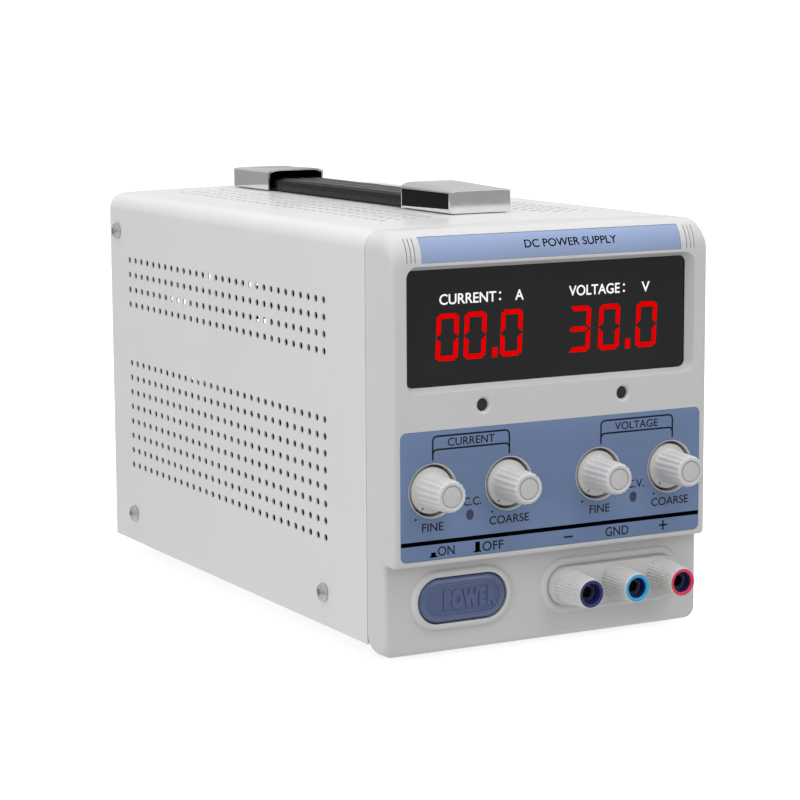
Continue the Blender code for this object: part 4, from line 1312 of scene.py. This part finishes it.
def strap_length(start, end):
    low, high = case_box("strap_front")
    z = (low[2] + high[2]) / 2
    count = max(2, int(round(end - start)))
    section = strap_section()
    rings = [(section, -(start + (end - start) * i / count)) for i in range(count + 1)]
    return loft(rings, facing(FRONT, (0, 0, z)))


def strap():
    """Three lengths, cut halfway between the pivots; they ride on no body and stay where they are
    made.
    """
    link_end = 2.5
    front = case_box("strap_front")[0][1] + link_end
    middle = case_box("strap_front")[1][1] - link_end
    rear = case_box("strap_rear")[1][1] - link_end
    start = case_box("strap_tongue_front")[0][1]
    end = case_box("strap_tongue_rear")[1][1]
    cuts = ((start, (front + middle) / 2, front, 5.0, "case", "strap_front",
             ["strap_tongue_front", "strap_front"]),
            ((front + middle) / 2, (middle + rear) / 2, middle, 14.0, "strap_front", "strap_rear",
             ["strap_rear"]),
            ((middle + rear) / 2, end, rear, 5.0, "strap_rear", "strap_tongue_rear",
             ["strap_tongue_rear"]))
    for i, (near, far, pivot, reach, body_a, body_b, nodes) in enumerate(cuts):
        part = piece("strap_part_%d" % (i + 1), strap_length(near, far), STRAP_RUBBER, None, nodes,
                     ride=False)
        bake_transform(part)


# ---- rear ------------------------------------------------------------------------------
def fan_guard():
    """Wire finger guard behind the fan opening: four rings and four arms."""
    y = COVER_REAR - 0.9
    wires = []
    for radius in GUARD_RINGS:
        wires.append(sweep([(FAN[0] + x, y, FAN[1] + z) for x, z in circle(radius, 64)], WIRE, 8,
                           cyclic=True))
    for i in range(4):
        angle = math.radians(45 + 90 * i)
        direction = Vector((math.cos(angle), 0, math.sin(angle)))
        centre = Vector((FAN[0], y, FAN[1]))
        points = [centre + direction * (GUARD_RINGS[0] + (GUARD_ARM - GUARD_RINGS[0]) * k / 6)
                  for k in range(7)]
        wires.append(sweep(points, WIRE, 8))
    piece("fan_guard", joined(*wires), CHROME, "case")


def rim(grid):
    """The vertices round a square grid, once round."""
    last = len(grid) - 1
    return ([grid[0][k] for k in range(last + 1)] + [grid[i][last] for i in range(1, last + 1)]
            + [grid[last][k] for k in range(last - 1, -1, -1)]
            + [grid[i][0] for i in range(last - 1, 0, -1)])


def fan_rotor():
    """Hub and seven twisted blades."""
    low, high = case_box("fan_rotor")
    matrix = facing(REAR, (FAN[0], (low[1] + high[1]) / 2, FAN[1]))
    deep = (high[1] - low[1]) / 2
    hub = lathe([(11.5, -deep), (12.0, -deep + 0.5), (12.0, deep - 1.0), (11.6, deep - 0.4),
                 (10.9, deep), (0.5, deep)], matrix, 48)
    bm = bmesh.new()
    blades = 7
    for blade in range(blades):
        start = math.tau * blade / blades
        rows = []
        for i in range(7):
            radius = 11.8 + (27.3 - 11.8) * i / 6
            row = []
            for k in range(7):
                across = k / 6 - 0.5
                angle = start + across * (0.62 - 0.12 * i / 6) + 0.2 * (i / 6) ** 2
                height = (-across * (deep * 1.7) * (1 - 0.25 * i / 6)
                          + 0.8 * math.cos(math.pi * across))
                row.append(Vector((radius * math.cos(angle), radius * math.sin(angle),
                                   max(-deep + 0.6, min(deep - 0.6, height)))))
            rows.append(row)
        rims = []
        for offset in (-0.45, 0.45):
            grid = [[bm.verts.new(point + Vector((0, 0, offset))) for point in row]
                    for row in rows]
            for i in range(6):
                for k in range(6):
                    face = (grid[i][k], grid[i][k + 1], grid[i + 1][k + 1], grid[i + 1][k])
                    bm.faces.new(face if offset > 0 else face[::-1])
            rims.append(rim(grid))
        band(bm, *rims)
    piece("fan_rotor_blades", joined(hub, mesh_of(bm, matrix)), BLACK_PLASTIC, "fan_rotor",
          ["fan_rotor"])


def mains_inlet():
    """Appliance inlet with a bevelled flange, hollow socket and three flat pins."""
    matrix = facing(REAR, (INLET[0], 0, INLET[1]))
    back = COVER_REAR - 0.15
    width, height = INLET_FLANGE
    flange = loft([(rounded(width - 2 * inset, height - 2 * inset, 4 - inset, 6), back - down)
                   for inset, down in ((0, 1.3), (0, 0.35), (0.12, 0.1), (0.4, 0.0))], matrix)
    body = polygon(rounded(*INLET_BODY, 1.2, 4), back - 21.9, back - 0.6, matrix)
    socket = [(12.0, -8.0), (12.0, 3.5), (7.5, 8.0), (-7.5, 8.0), (-12.0, 3.5), (-12.0, -8.0)]
    hole = polygon(socket, back - 16.5, back + 5, matrix)
    mesh = combined(flange, [("UNION", body), ("DIFFERENCE", hole)])
    shell = piece("mains_inlet_body", mesh, BLACK_PLASTIC, "case", ["mains_inlet"])
    keep_flats_flat(shell)
    pins = []
    for spot in ((-7.0, -1.5), (7.0, -1.5), (0.0, 2.5)):
        rings = [(rounded(PIN[0] - 2 * inset, PIN[1] - 2 * inset, 0.4, 3, spot), back - 17.0 + up)
                 for inset, up in ((0, 0), (0, 14.0), (0.25, 14.6), (0.5, 14.9))]
        pins.append(loft(rings, matrix))
    piece("mains_inlet_pins", joined(*pins), SCREW_METAL, "case")


def rear_screws():
    """Four smaller screws that hold the fan."""
    pattern = screw_mesh()
    pattern.transform(Matrix.Diagonal((0.72, 0.72, 0.6, 1)))
    spots = [(FAN[0] + FAN_SCREW * x, FAN[1] + FAN_SCREW * z) for x in (-1, 1) for z in (-1, 1)]
    panel = COVER_REAR - 1.7
    meshes = []
    for i, (x, z) in enumerate(spots):
        mesh = pattern.copy()
        turn = Matrix.Rotation(math.radians(20 + 55 * i), 4, "Z")
        mesh.transform(TO_ROW @ facing(REAR, (x, panel, z)) @ turn)
        meshes.append(mesh)
    piece("rear_screws", joined(*meshes), SCREW_METAL, "case", crease=40)


make_camera()
make_studio()
finish_cad()
front_bezel()
control_overlay()
title_strip()
display_window()
overlay_printing()
title_printing()
display_printing()
for knob, knob_x in KNOB_X.items():
    control_knob(knob, knob_x)
power_button()
terminal_plate()
for post, post_x in POST_X.items():
    binding_post(post, post_x)
top_cover()
screws()
feet()
handle_cap("front")
handle_cap("rear")
strap()
fan_guard()
fan_rotor()
mains_inlet()
rear_screws()
